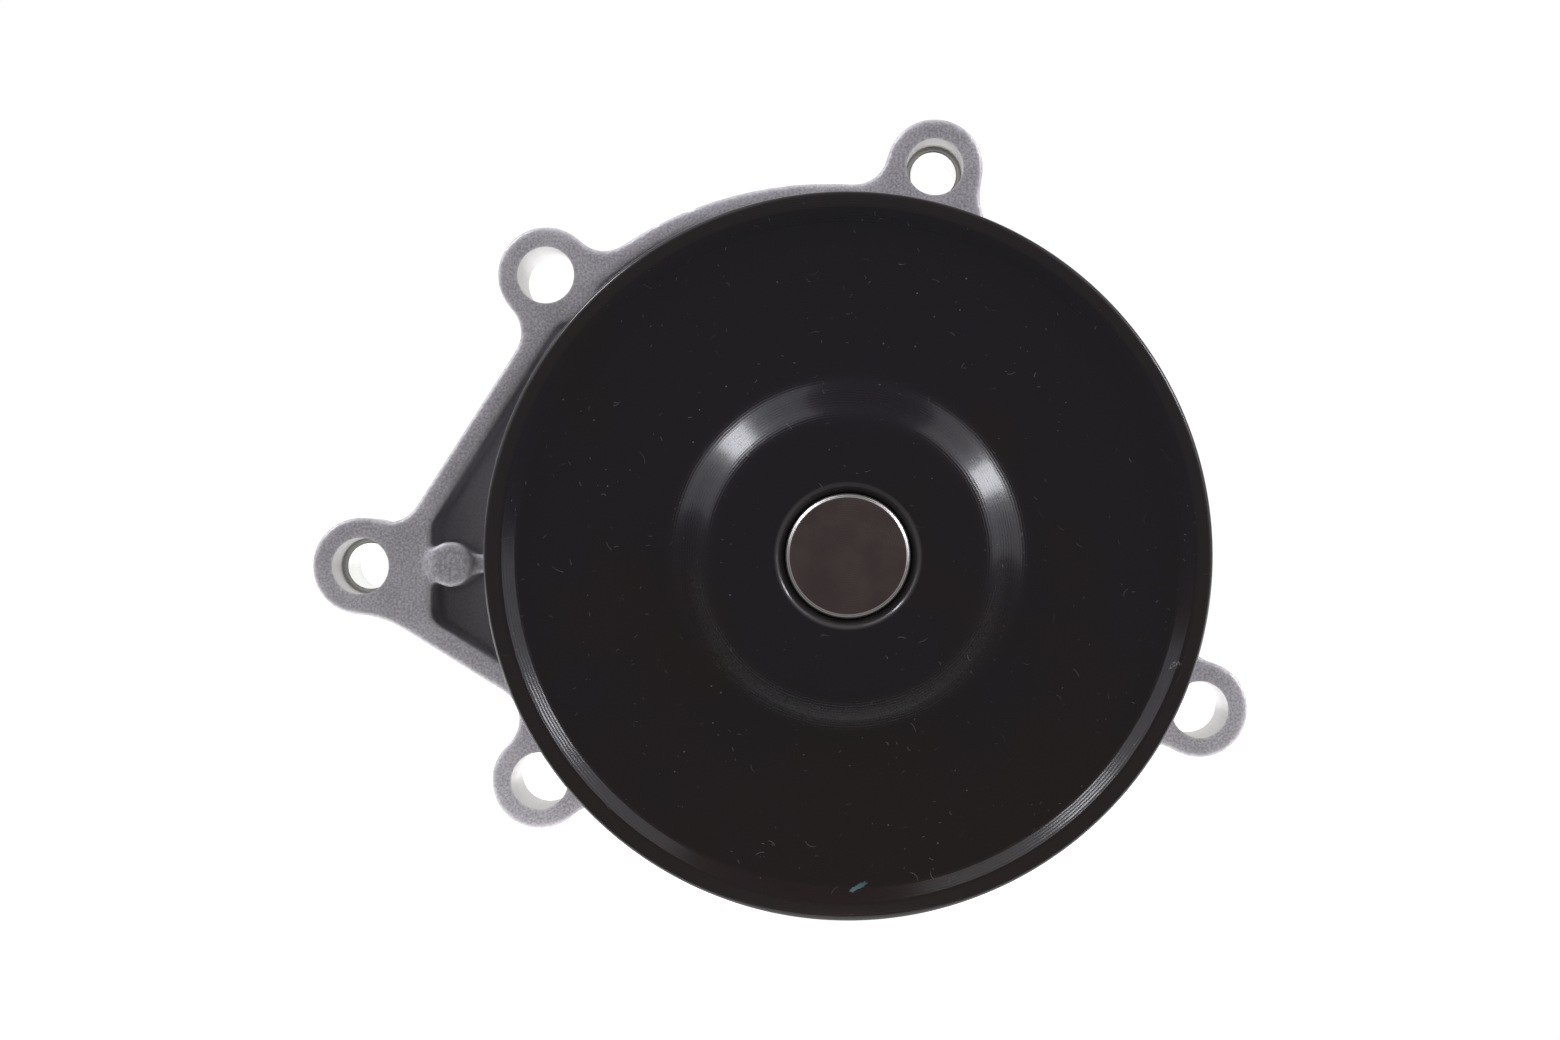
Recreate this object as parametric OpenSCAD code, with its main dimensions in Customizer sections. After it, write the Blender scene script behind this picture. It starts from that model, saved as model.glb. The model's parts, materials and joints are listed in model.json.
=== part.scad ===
// Belt driven water pump for a car engine, in millimetres.
// The shaft lies along Y. The pulley faces -Y and the engine is on the +Y side.
// The origin is on the shaft axis, in the plane of the mounting face.
// Every piece is drawn with its axis along Z, pulley end up, and then laid down by place().

/* [Bolt lugs] */
// Distance from the shaft axis to the left lug
left_lug_reach = 66.3; // [64:0.1:70]
// Direction of the left lug, in degrees from +X
left_lug_angle = 181.2; // [178:0.1:184]
// Distance from the shaft axis to the upper left lug
upper_lug_reach = 56.1; // [54:0.1:60]
// Direction of the upper left lug
upper_lug_angle = 137.1; // [133:0.1:141]
// Distance from the shaft axis to the top lug
top_lug_reach = 54.2; // [52.5:0.1:58]
// Direction of the top lug
top_lug_angle = 77.4; // [70:0.1:85]
// Distance from the shaft axis to the right lug
right_lug_reach = 52.2; // [51:0.1:58]
// Direction of the right lug
right_lug_angle = -23.6; // [-35:0.1:-15]
// Distance from the shaft axis to the lower left lug
lower_lug_reach = 51.9; // [51:0.1:58]
// Direction of the lower left lug
lower_lug_angle = 216.1; // [212:0.1:220]
// Outer diameter of a lug
lug_diameter = 13.2; // [11:0.1:16]
// Height of a lug above the mounting face
lug_height = 16; // [12:0.5:24]
// Diameter of a bolt hole
bolt_hole_diameter = 7.7; // [6.4:0.1:9]

/* [Locating sleeves] */
// Outer diameter of a locating sleeve
sleeve_diameter = 8; // [7.8:0.1:9.6]
// Bore of a locating sleeve
sleeve_bore = 6.3; // [5:0.1:6.8]
// Depth of a sleeve in the housing
sleeve_depth = 6.2; // [4:0.1:9]
// Length of a sleeve that stands out of the mounting face
sleeve_stand_out = 6; // [3:0.5:10]

/* [Housing] */
// Radius of the round part of the body
body_radius = 47; // [44:0.5:48]
// Radius of the shoulder between the upper left and the top lug
shoulder_radius = 50.7; // [49:0.1:52]
// Distance of the centre of that shoulder to the left of the shaft axis
shoulder_shift = 2.7; // [0:0.1:4]
// Distance of the upper arm wall inboard of the line through its two lugs
upper_wall_inset = 2; // [0:0.1:4]
// Slope of the lower arm wall, in degrees
lower_wall_angle = -32; // [-36:1:-28]
// Distance of the lower arm wall below the left lug's centre
lower_wall_drop = 4.2; // [2:0.1:5]
// Thickness of the rim wall round the pockets
rim_wall = 2.4; // [1.8:0.1:3.5]
// Thickness of the two straight walls of the arm
arm_wall = 3; // [2:0.1:4]
// Thickness of the floor under the pockets
floor_thickness = 3.5; // [2.5:0.1:5]
// Depth of the relief on the engine side
relief_depth = 1.3; // [0.5:0.1:2]
// Thickness of a stiffening rib
rib_thickness = 2.6; // [1.8:0.1:4]
// Distance from the shaft axis to the round pad on the arm
pad_reach = 54.1; // [52:0.1:55]
// Radius of the round pad on the arm
pad_radius = 3.1; // [2.5:0.1:4]
// Height of the pad above the lugs
pad_stand = 0.5; // [0.1:0.1:1]
// Radius of the concave blends beside the lugs
blend_radius = 4.5; // [3:0.5:6]
// Wall of the nose round the bearing and of the neck round the seal
nose_wall = 4.3; // [3:0.1:6]
// Diameter of the drain drilled out of the space behind the seal
weep_diameter = 3; // [2:0.1:3.4]

/* [Gasket] */
// Radius of the gasket's path round the impeller
gasket_radius = 40; // [37:0.5:42]
// Distance of the gasket's small end to the left of the shaft axis
gasket_arm_reach = 54; // [50:0.5:55]
// Radius of the gasket's path at its small end
gasket_arm_radius = 4; // [3:0.5:5]
// Width of the gasket bead
gasket_width = 2.4; // [1.6:0.1:3]
// Depth of the gasket groove
gasket_depth = 2; // [1.4:0.1:2.4]
// Height of the bead above the mounting face
gasket_proud = 0.6; // [0.2:0.1:1]

/* [Pulley] */
// Outer diameter of the pulley
pulley_diameter = 93; // [84:1:112]
// Width of the pulley rim
pulley_width = 25.8; // [22.8:0.1:31]
// Pitch of the belt ribs
rib_pitch = 3.56; // [3:0.01:3.7]
// Number of belt ribs
rib_count = 6; // [4:1:6]
// Depth of the belt grooves below the rim
groove_depth = 3.6; // [2.5:0.1:4]
// Distance of the rib tips below the rim
tip_drop = 0.9; // [0.3:0.1:1.5]
// Thickness of the steel sheet
sheet = 2.6; // [1.8:0.1:3.2]
// Width of the step between the flat rim and the web
step_width = 1.9; // [1.5:0.1:4]
// Width of the flat rim annulus
rim_face = 2.2; // [1.5:0.1:3]
// Depth of the web behind the rim face
rim_step = 1.6; // [0.5:0.1:3]
// Radius of the foot of the centre boss
boss_foot_radius = 23.6; // [20:0.1:28]
// Radius of the flat top of the centre boss
boss_top_radius = 16.8; // [14:0.1:18]
// Length of the collar pressed on the shaft
collar_length = 7; // [5:0.1:12]
// Width of the funnel at the front of the collar
mouth_width = 1.1; // [0.5:0.1:1.6]
// Depth of the funnel
mouth_depth = 1.6; // [1:0.1:3.5]
// Gap between the lugs' pad and the pulley
pulley_gap = 1.7; // [1:0.1:5]

/* [Shaft and bearing] */
// Diameter of the shaft in the bearing and the pulley
shaft_diameter = 15.918; // [13.2:0.001:19.2]
// Diameter of the shaft in the seal and the impeller
tail_diameter = 12; // [10:0.1:13]
// Outer diameter of the bearing
bearing_diameter = 30; // [26:0.1:36]
// Length of the bearing's outer ring
bearing_length = 30; // [25:0.5:36]
// Height of the bearing's rear face above the mounting face
bearing_seat = 8.4; // [8:0.1:10]
// Thickness of the outer ring under a ball
ball_ring_wall = 1.55; // [1.2:0.05:2]
// Thickness of the outer ring under a roller
roller_ring_wall = 2; // [1.5:0.1:2.5]
// Thickness of the outer ring between its tracks
land_wall = 3; // [2.6:0.1:3.4]
// Depth of the ball groove in the shaft
ball_groove_depth = 0.9; // [0.4:0.1:1.2]
// Distance from the bearing's front face to the cage of the row of balls
ball_row_inset = 2.925; // [2.6:0.005:4.5]
// Distance from the bearing's rear face to the middle of the rollers
roller_row_inset = 9; // [8.5:0.1:10]
// Length of a roller
roller_length = 9; // [6:0.5:9]
// Thickness of a bearing seal
bearing_seal_thickness = 1.8; // [1.2:0.1:2]
// Radial play of the balls and the rollers
bearing_play = 0.02; // [0.01:0.01:0.05]
// Length of the shaft beyond the mounting face
tail_length = 25.5; // [24:0.5:32]

/* [Face seal] */
// Diameter of the seal's bore in the housing
seal_diameter = 30; // [28:0.1:36]
// Height of the seat of the seal case above the mounting face
seal_seat = 3; // [2.5:0.1:3.5]
// Length of the seal bore
seal_depth = 9.8; // [9.6:0.1:12]
// Thickness of the seal's sheet metal
seal_sheet = 0.6; // [0.4:0.1:0.8]
// Height of the carbon ring
carbon_height = 4; // [3:0.1:5]
// Thickness of the mating ring
mating_thickness = 3.2; // [2.5:0.1:4]
// Thickness of the rubber behind the mating ring
boot_thickness = 1; // [0.6:0.1:1.5]
// Wire of the seal's spring
spring_wire = 1.1; // [0.8:0.1:1.2]
// Turns of the seal's spring
spring_turns = 3; // [2:0.5:3.5]
// Film between the two sealing faces
face_film = 0.02; // [0.01:0.01:0.05]

/* [Impeller] */
// Diameter of the impeller
impeller_diameter = 58; // [50:1:64]
// Thickness of the back plate
back_plate = 2.4; // [1.8:0.1:4]
// Height of the vanes
vane_height = 8.8; // [6:0.1:9]
// Thickness of a vane
vane_thickness = 2; // [1.4:0.1:3]
// Number of vanes
vane_count = 7; // [5:1:8]
// Radius of the vanes' curve
vane_curve = 18; // [16:0.5:30]
// Angle by which a vane's tip trails its root, in degrees
vane_sweep = 48; // [30:1:60]
// Wall of the moulded hub round the bush
hub_wall = 3.5; // [2.5:0.1:5]
// Wall of the metal bush
bush_wall = 3; // [2:0.1:4]

/* [Hidden] */
$fn = 96;

cut = 1;

// Axial places, from the mounting face towards the pulley.
floor_top = relief_depth + floor_thickness;
pad_height = lug_height + pad_stand;
rib_sink = 0.4;
rib_height = lug_height - rib_sink;
bearing_front = bearing_seat + bearing_length;
hub_gap = 1;
shaft_end = bearing_front + hub_gap + collar_length;
pulley_rear = pad_height + pulley_gap;
rim_front = pulley_rear + pulley_width;
web_front = rim_front - rim_step;
web_radius = pulley_diameter / 2 - rim_face - step_width;
bearing_stand = 1.5;
nose_front = bearing_front - bearing_stand;
roller_row = bearing_seat + roller_row_inset;

// Radii of the shaft, the bearing and the nose.
shaft_radius = shaft_diameter / 2;
tail_radius = tail_diameter / 2;
bearing_radius = bearing_diameter / 2;
seal_radius = seal_diameter / 2;
nose_radius = bearing_radius + nose_wall;
neck_radius = seal_radius + nose_wall;
shoulder_bore = min(bearing_radius, seal_radius) - 2.5;
tail_start = seal_seat + 2;

// The ball groove is this much rounder than the balls.
groove_share = 1.04;
// Half of the cage's bar between two balls and between two rollers, and the cages' end rims.
ball_bar = 0.65;
roller_bar = 0.45;
ball_cage_rim = 0.9;
roller_cage_rim = 1.4;
// The balls and the rollers fill the space that the shaft and the outer ring leave.
ball_inner = shaft_radius - ball_groove_depth;
ball_outer = bearing_radius - ball_ring_wall;
ball_radius = (ball_outer - ball_inner) / 2 - bearing_play;
ball_pitch_radius = (ball_outer + ball_inner) / 2;
ball_row = bearing_front - ball_row_inset - ball_cage_rim - ball_radius;
groove_radius = ball_radius * groove_share;
ball_cage_gap = 0.12;
ball_count = floor(180 / asin((ball_radius + ball_bar) / ball_pitch_radius));
roller_outer = bearing_radius - roller_ring_wall;
roller_radius = (roller_outer - shaft_radius) / 2 - bearing_play;
roller_pitch_radius = (roller_outer + shaft_radius) / 2;
roller_count = floor(180 / asin((roller_radius + roller_bar) / roller_pitch_radius));
roller_gap = 0.1;
land_radius = bearing_radius - land_wall;
cage_gap = 0.5;
seal_pocket_wall = 2;
seal_pocket_depth = bearing_seal_thickness + 0.3;
lip_gap = 0.05;
lip_width = 0.9;
seal_rim = 1.2;
slinger_thickness = 2;
slinger_disc = 1.2;
slinger_edge = 1;
slinger_bottom = tail_start + 0.4;

// The face seal, stacked from its seat in the housing towards the impeller.
neck_end = seal_seat - seal_depth;
case_inner_radius = seal_radius - seal_sheet;
case_floor = seal_seat - seal_sheet;
case_inset = 0.8;
bellows_foot = 1.4;
bellows_bottom = case_floor - bellows_foot;
sleeve_wall = 0.5;
sleeve_radius = tail_radius + sleeve_wall;
sleeve_gap = 1.7;
bellows_inner = sleeve_radius + sleeve_gap;
bellows_wall = 0.9;
bellows_seat = 1;
spring_seat_sheet = 0.4;
spring_top = bellows_bottom - spring_seat_sheet;
spring_inset = 1.2;
spring_radius = case_inner_radius - spring_inset - spring_wire / 2;
spring_end_gap = 0.02;
face_stand = 2.2;
seal_face = neck_end - face_stand;
carbon_back = seal_face + carbon_height;
carrier_sheet = 0.5;
carrier_flange = carbon_back + bellows_seat + carrier_sheet;
carrier_inset = 2.6;
carrier_inner = case_inner_radius - carrier_inset;
carrier_outer = carrier_inner + carrier_sheet;
carrier_brim = 0.9;
carrier_grip = 2;
spring_bottom = carrier_flange;
part_gap = 0.1;
carbon_gap = 0.3;
carbon_inner = bellows_inner + carbon_gap;
face_land = 0.7;
face_rise = 1.5;
mating_front = seal_face - face_film;
mating_back = mating_front - mating_thickness;
boot_back = mating_back - boot_thickness;
sleeve_back = boot_back - seal_sheet;
boot_wall = 1.8;
mating_inner = sleeve_radius + boot_wall;
mating_brim = 0.4;
mating_outer = carrier_outer + mating_brim;
cup_wall = 0.6;
cup_grip = 1;
sleeve_front_gap = 3.4;

// The impeller follows the seal's sleeve.
hub_drop = 1;
plate_front = sleeve_back;
plate_rear = plate_front - back_plate;
vane_end = plate_rear - vane_height;
bush_radius = tail_radius + bush_wall;
hub_radius = bush_radius + hub_wall;
hub_end = vane_end + hub_drop;
impeller_radius = impeller_diameter / 2;
relief_hole_radius = 1.6;
relief_hole_reach = hub_radius + 3;
// A vane leaves the hub at angle 0 and stays inside this much of the plate.
vane_inset = 0.3;
vane_lead = 20;
vane_tail = 10;
relief_turn = 0.25;

// Largest gap between a chord of the outline and its true arc.
chord_error = 0.02;
// The blend under the left lug is slack, because the wall leaves the lug at a small angle.
slack_blend = 3 * blend_radius;
flare_radius = 2 * blend_radius;

// Lug centres.
lug_radius = lug_diameter / 2;
bolt_hole_radius = bolt_hole_diameter / 2;
left_lug = polar(left_lug_reach, left_lug_angle);
upper_lug = polar(upper_lug_reach, upper_lug_angle);
top_lug = polar(top_lug_reach, top_lug_angle);
right_lug = polar(right_lug_reach, right_lug_angle);
lower_lug = polar(lower_lug_reach, lower_lug_angle);
// The part of a ring dowel inside its lug is a little wider, and ends just outside the face.
dowel_radius = sleeve_diameter / 2;
dowel_seat_step = 0.25;
dowel_seat_radius = dowel_radius + dowel_seat_step;
dowel_step = 0.3;
dowel_chamfer = 0.4;
LUGS = [left_lug, upper_lug, top_lug, right_lug, lower_lug];
SLEEVED_LUGS = [left_lug, top_lug];
shoulder_centre = [-shoulder_shift, 0];

// The two straight walls of the arm, each a point and a direction that runs towards the body.
upper_wall_dir = along(left_lug, upper_lug);
upper_wall_point = left_lug - upper_wall_inset * left_of(upper_wall_dir);
lower_wall_dir = [cos(lower_wall_angle), sin(lower_wall_angle)];
lower_wall_point = left_lug - lower_wall_drop * left_of(lower_wall_dir);

// Directions of the ribs between the nose and the rim.
RIB_ANGLES = [
    left_lug_angle, upper_lug_angle, top_lug_angle, right_lug_angle, lower_lug_angle, 22, 295
];

// Ribs between the nose and the rim start this far below the nose and fall at this slope.
rib_drop = 7;
rib_slope = 0.8;
rib_root = 1;
// How deep a rib's foot and the nose's root reach into the floor, and the clearance round a lug.
root = 0.5;
lug_shelf = 0.4;
// The relief of the mounting face starts this many gasket widths inside the gasket's middle.
relief_share = 1.3;
// Metal between the drain and the bearing's seat.
weep_land = 0.2;
// Corner radius of the arm's pocket.
pocket_corner = 2.6;
// The belt grooves: flat at a rib's tip as a share of its pitch, and the overlap with the tip.
tip_share = 0.25;
overlap = 0.01;
// Small bevels of the rim and of the shaft's front end.
edge = 0.4;
shaft_edge = 0.5;
tail_edge = 0.6;
// Steps of the dished boss.
DISH_STEPS = 12;

// Fineness of the spring's wire: sides round the wire, and steps in a turn.
COIL_SIDES = 8;
COIL_STEPS = 28;

// A point at a distance and an angle from the shaft axis.
function polar(reach, angle) = reach * [cos(angle), sin(angle)];
// The unit vector from one point to another.
function along(from, to) = (to - from) / norm(to - from);
// A direction turned a quarter turn to the left.
function left_of(dir) = [-dir.y, dir.x];
// The point of a line that is nearest to a given point.
function foot(point, line_point, line_dir) =
    line_point + ((point - line_point) * line_dir) * line_dir;
// Where two lines cross.
function crossing(p, u, q, v) =
    p + u * (cross(q - p, v) / cross(u, v));
// Centre of a circle of radius f that touches a line from its far side and a circle from outside.
// side is 1 when the blend lies left of the line, and pick chooses one of the two places.
function line_blend(line_point, line_dir, centre, radius, f, side, pick) =
    let (
        base = line_point + side * f * left_of(line_dir),
        near = foot(centre, base, line_dir),
        reach = sqrt(pow(radius + f, 2) - pow(norm(centre - near), 2))
    )
    near + pick * reach * line_dir;
// Centre of a circle of radius f that touches two circles from outside.
function circle_blend(a, ra, b, rb, f, side) =
    let (
        d = norm(b - a),
        x = (d * d + pow(ra + f, 2) - pow(rb + f, 2)) / (2 * d),
        y = sqrt(pow(ra + f, 2) - x * x),
        u = along(a, b)
    )
    a + x * u + side * y * left_of(u);
// The direction from one point to another, in degrees.
function heading(from, to) = atan2(to.y - from.y, to.x - from.x);
// An angle brought into 0 to 360.
function wrap(angle) = angle - 360 * floor(angle / 360);
// Points of an arc that starts towards one point and ends towards another.
// turn is 1 for a bulge and -1 for a hollow of an outline that runs counterclockwise.
function arc(centre, radius, from, to, turn) =
    let (
        start = heading(centre, from),
        sweep = turn * wrap(turn * (heading(centre, to) - start)),
        steps = ceil(abs(sweep) / (2 * acos(1 - chord_error / radius)))
    )
    [for (i = [0 : steps]) centre + polar(radius, start + sweep * i / steps)];
// A step from 0 to 1, soft at both ends.
function ease(t) = (1 - cos(180 * t)) / 2;

module place() {
    rotate([90, 0, 0]) children();
}

// A ring between two radii and two heights.
module ring(inner, outer, bottom, top) {
    translate([0, 0, bottom]) difference() {
        cylinder(r = outer, h = top - bottom);
        translate([0, 0, -cut]) cylinder(r = inner, h = top - bottom + 2 * cut);
    }
}

// A full cylinder between two heights.
module rod(radius, bottom, top) {
    translate([0, 0, bottom]) cylinder(r = radius, h = top - bottom);
}

// Outline of the housing, seen from the pulley, as one closed chain of arcs.
module housing_outline() {
    upper_in = line_blend(upper_wall_point, upper_wall_dir, upper_lug, lug_radius, blend_radius, 1, -1);
    upper_out = line_blend(upper_wall_point, upper_wall_dir, left_lug, lug_radius, blend_radius, 1, 1);
    lower_out = line_blend(lower_wall_point, lower_wall_dir, left_lug, lug_radius, slack_blend, -1, 1);
    lower_in = line_blend(lower_wall_point, lower_wall_dir, lower_lug, lug_radius, blend_radius, -1, -1);
    upper_right = circle_blend(shoulder_centre, shoulder_radius, upper_lug, lug_radius, blend_radius, -1);
    top_left = circle_blend(shoulder_centre, shoulder_radius, top_lug, lug_radius, blend_radius, 1);
    top_right = circle_blend([0, 0], body_radius, top_lug, lug_radius, flare_radius, -1);
    right_top = circle_blend([0, 0], body_radius, right_lug, lug_radius, blend_radius, 1);
    right_low = circle_blend([0, 0], body_radius, right_lug, lug_radius, blend_radius, -1);
    lower_right = circle_blend([0, 0], body_radius, lower_lug, lug_radius, blend_radius, 1);
    polygon(concat(
        arc([0, 0], body_radius, right_top, top_right, 1),
        arc(top_right, flare_radius, [0, 0], top_lug, -1),
        arc(top_lug, lug_radius, top_right, top_left, 1),
        arc(top_left, blend_radius, top_lug, shoulder_centre, -1),
        arc(shoulder_centre, shoulder_radius, top_left, upper_right, 1),
        arc(upper_right, blend_radius, shoulder_centre, upper_lug, -1),
        arc(upper_lug, lug_radius, upper_right, upper_in, 1),
        arc(upper_in, blend_radius, upper_lug, upper_in - left_of(upper_wall_dir), -1),
        arc(upper_out, blend_radius, upper_out - left_of(upper_wall_dir), left_lug, -1),
        arc(left_lug, lug_radius, upper_out, lower_out, 1),
        arc(lower_out, slack_blend, left_lug, lower_out + left_of(lower_wall_dir), -1),
        arc(lower_in, blend_radius, lower_in + left_of(lower_wall_dir), lower_lug, -1),
        arc(lower_lug, lug_radius, lower_in, lower_right, 1),
        arc(lower_right, blend_radius, lower_lug, [0, 0], -1),
        arc([0, 0], body_radius, lower_right, right_low, 1),
        arc(right_low, blend_radius, [0, 0], right_lug, -1),
        arc(right_lug, lug_radius, right_low, right_top, 1),
        arc(right_top, blend_radius, right_lug, [0, 0], -1)
    ));
}

// The arm's pocket inside its two walls, with its two outer corners rounded.
module arm_pocket() {
    corner = pocket_corner;
    end_point = left_lug + [lug_radius + arm_wall, 0];
    end_dir = [0, 1];
    inset = arm_wall + corner;
    upper_core = upper_wall_point - inset * left_of(upper_wall_dir);
    lower_core = lower_wall_point + inset * left_of(lower_wall_dir);
    end_core = end_point + [corner, 0];
    a = crossing(upper_core, upper_wall_dir, end_core, end_dir);
    b = crossing(lower_core, lower_wall_dir, end_core, end_dir);
    translate(a) circle(r = corner);
    translate(b) circle(r = corner);
    polygon([
        [0, 0],
        foot(upper_lug, upper_core, upper_wall_dir) + corner * left_of(upper_wall_dir),
        a + corner * left_of(upper_wall_dir),
        a - [corner, 0],
        b - [corner, 0],
        b - corner * left_of(lower_wall_dir),
        foot(lower_lug, lower_core, lower_wall_dir) - corner * left_of(lower_wall_dir)
    ]);
}

// All pockets in the front of the housing.
module pocket_outline() {
    difference() {
        union() {
            circle(r = body_radius - rim_wall);
            intersection() {
                translate(shoulder_centre) circle(r = shoulder_radius - rim_wall);
                polygon([[0, 0], 1.2 * upper_lug, 1.5 * (upper_lug + top_lug), 1.2 * top_lug]);
            }
            arm_pocket();
        }
        circle(r = nose_radius - root);
        for (lug = LUGS) translate(lug) circle(r = lug_radius + lug_shelf);
    }
}

// The area inside the gasket: two round ends joined by their outer tangents.
module sealed_area(grow) {
    big = gasket_radius + grow;
    small = gasket_arm_radius + grow;
    arm = [-gasket_arm_reach, 0];
    lean = acos((big - small) / gasket_arm_reach);
    polygon(concat(
        arc([0, 0], big, polar(big, 180 + lean), polar(big, 180 - lean), 1),
        arc(arm, small, arm + polar(small, 180 - lean), arm + polar(small, 180 + lean), 1)
    ));
}

// A rib from the nose down to the rim.
module rib(angle) {
    top = nose_front - rib_drop;
    rotate([0, 0, angle]) translate([0, rib_thickness / 2, 0]) rotate([90, 0, 0])
        linear_extrude(rib_thickness) polygon([
            [bearing_radius + rib_root, relief_depth + root],
            [bearing_radius + rib_root, top],
            [nose_radius, top],
            [nose_radius + rib_slope * (top - rib_height), rib_height],
            [body_radius - rim_wall / 2, rib_height],
            [body_radius - rim_wall / 2, relief_depth + root]
        ]);
}

// The rib that runs along the arm to the pad.
module arm_rib() {
    length = pad_reach - nose_radius;
    rotate([0, 0, left_lug_angle]) translate([nose_radius - cut, -rib_thickness / 2, relief_depth + root])
        cube([length + cut, rib_thickness, rib_height - relief_depth - root]);
}

module pump_housing() color("#8f8a92") place() difference() {
    union() {
        difference() {
            linear_extrude(lug_height) housing_outline();
            translate([0, 0, floor_top]) linear_extrude(lug_height) pocket_outline();
        }
        for (angle = RIB_ANGLES) rib(angle);
        arm_rib();
        translate(polar(pad_reach, left_lug_angle)) cylinder(r = pad_radius, h = pad_height);
        rod(nose_radius, 0, nose_front);
        rod(neck_radius, neck_end, cut);
    }
    rod(bearing_radius, bearing_seat, bearing_front + cut);
    rod(shoulder_bore, 0, bearing_seat + cut);
    rod(seal_radius, neck_end - cut, seal_seat);
    for (lug = LUGS) translate(lug) rod(bolt_hole_radius, -cut, lug_height + cut);
    for (lug = SLEEVED_LUGS) translate(lug) rod(dowel_seat_radius, -cut, sleeve_depth);
    translate([0, 0, -cut]) linear_extrude(relief_depth + cut) difference() {
        sealed_area(-relief_share * gasket_width);
        circle(r = neck_radius);
    }
    translate([0, 0, -cut]) linear_extrude(gasket_depth + cut) gasket_outline();
    weep_drain();
}

// The drain below the space behind the seal, its vent above, and the notch under the rim.
module weep_drain() {
    height = bearing_seat - weep_diameter / 2 - weep_land;
    reach = nose_radius + 2 * cut;
    for (turn = [90, -90])
        rotate([0, 0, turn]) translate([shoulder_bore - cut, 0, height]) rotate([0, 90, 0])
            cylinder(d = weep_diameter, h = reach - shoulder_bore + cut);
    translate([-weep_diameter, -body_radius - cut, floor_top])
        cube([2 * weep_diameter, rim_wall + 2 * cut, weep_diameter]);
}

module gasket_outline() difference() {
    sealed_area(gasket_width / 2);
    sealed_area(-gasket_width / 2);
}

module housing_gasket() color("#1d1d1f") place()
    translate([0, 0, -gasket_proud]) linear_extrude(gasket_depth + gasket_proud) gasket_outline();

// A ring dowel: wider in the lug, plain where it stands out, chamfered at the far end.
module locating_sleeve() rotate_extrude() polygon([
    [sleeve_bore / 2, -sleeve_stand_out], [dowel_radius - dowel_chamfer, -sleeve_stand_out],
    [dowel_radius, dowel_chamfer - sleeve_stand_out], [dowel_radius, -dowel_step],
    [dowel_seat_radius, -dowel_step], [dowel_seat_radius, sleeve_depth], [sleeve_bore / 2, sleeve_depth]
]);

module locating_sleeves() color("#6e6a64") place()
    for (lug = SLEEVED_LUGS) translate(lug) locating_sleeve();

// The outer ring with a ball groove, a roller track and a seal pocket at each end.
module bearing_outer_ring() color("#9a9a9c") place() difference() {
    ring(land_radius, bearing_radius, bearing_seat, bearing_front);
    translate([0, 0, ball_row]) rotate_extrude()
        translate([ball_outer - groove_radius, 0]) circle(r = groove_radius);
    rod(
        roller_outer,
        roller_row - roller_length / 2 - roller_gap, roller_row + roller_length / 2 + roller_gap
    );
    rod(bearing_radius - seal_pocket_wall, bearing_front - seal_pocket_depth, bearing_front + cut);
    rod(bearing_radius - seal_pocket_wall, bearing_seat - cut, bearing_seat + seal_pocket_depth);
}

module bearing_balls() color("#c8c8ca") place()
    for (i = [0 : ball_count - 1]) rotate([0, 0, i * 360 / ball_count])
        translate([ball_pitch_radius, 0, ball_row]) sphere(r = ball_radius);

module ball_cage() color("#3b4a3a") place() difference() {
    ring(
        shaft_radius + cage_gap, land_radius - cage_gap,
        ball_row - ball_radius - ball_cage_rim, ball_row + ball_radius + ball_cage_rim
    );
    for (i = [0 : ball_count - 1]) rotate([0, 0, i * 360 / ball_count])
        translate([shaft_radius, 0, ball_row]) rotate([0, 90, 0])
            cylinder(r = ball_radius + ball_cage_gap, h = land_radius - shaft_radius);
}

module bearing_rollers() color("#c8c8ca") place()
    for (i = [0 : roller_count - 1]) rotate([0, 0, i * 360 / roller_count])
        translate([roller_pitch_radius, 0, roller_row - roller_length / 2])
            cylinder(r = roller_radius, h = roller_length);

module roller_cage() color("#3b4a3a") place() difference() {
    ring(
        shaft_radius + cage_gap, land_radius - cage_gap,
        roller_row - roller_length / 2 - roller_cage_rim, roller_row + roller_length / 2 + roller_cage_rim
    );
    for (i = [0 : roller_count - 1]) rotate([0, 0, i * 360 / roller_count])
        translate([roller_pitch_radius, 0, roller_row - roller_length / 2 - roller_gap])
            cylinder(r = roller_radius + roller_gap, h = roller_length + 2 * roller_gap);
}

// A bearing seal: a disc that is pressed into its pocket, with a thin lip at the shaft.
module bearing_seal() difference() {
    ring(shaft_radius + lip_gap, bearing_radius - seal_pocket_wall, 0, bearing_seal_thickness);
    translate([0, 0, bearing_seal_thickness / 2]) difference() {
        rod(bearing_radius - seal_pocket_wall - seal_rim, 0, bearing_seal_thickness);
        rod(shaft_radius + lip_width, -cut, bearing_seal_thickness + cut);
    }
}

module front_bearing_seal() color("#20201f") place()
    translate([0, 0, bearing_front - seal_pocket_depth]) bearing_seal();

module rear_bearing_seal() color("#20201f") place()
    translate([0, 0, bearing_seat + seal_pocket_depth]) mirror([0, 0, 1]) bearing_seal();

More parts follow.
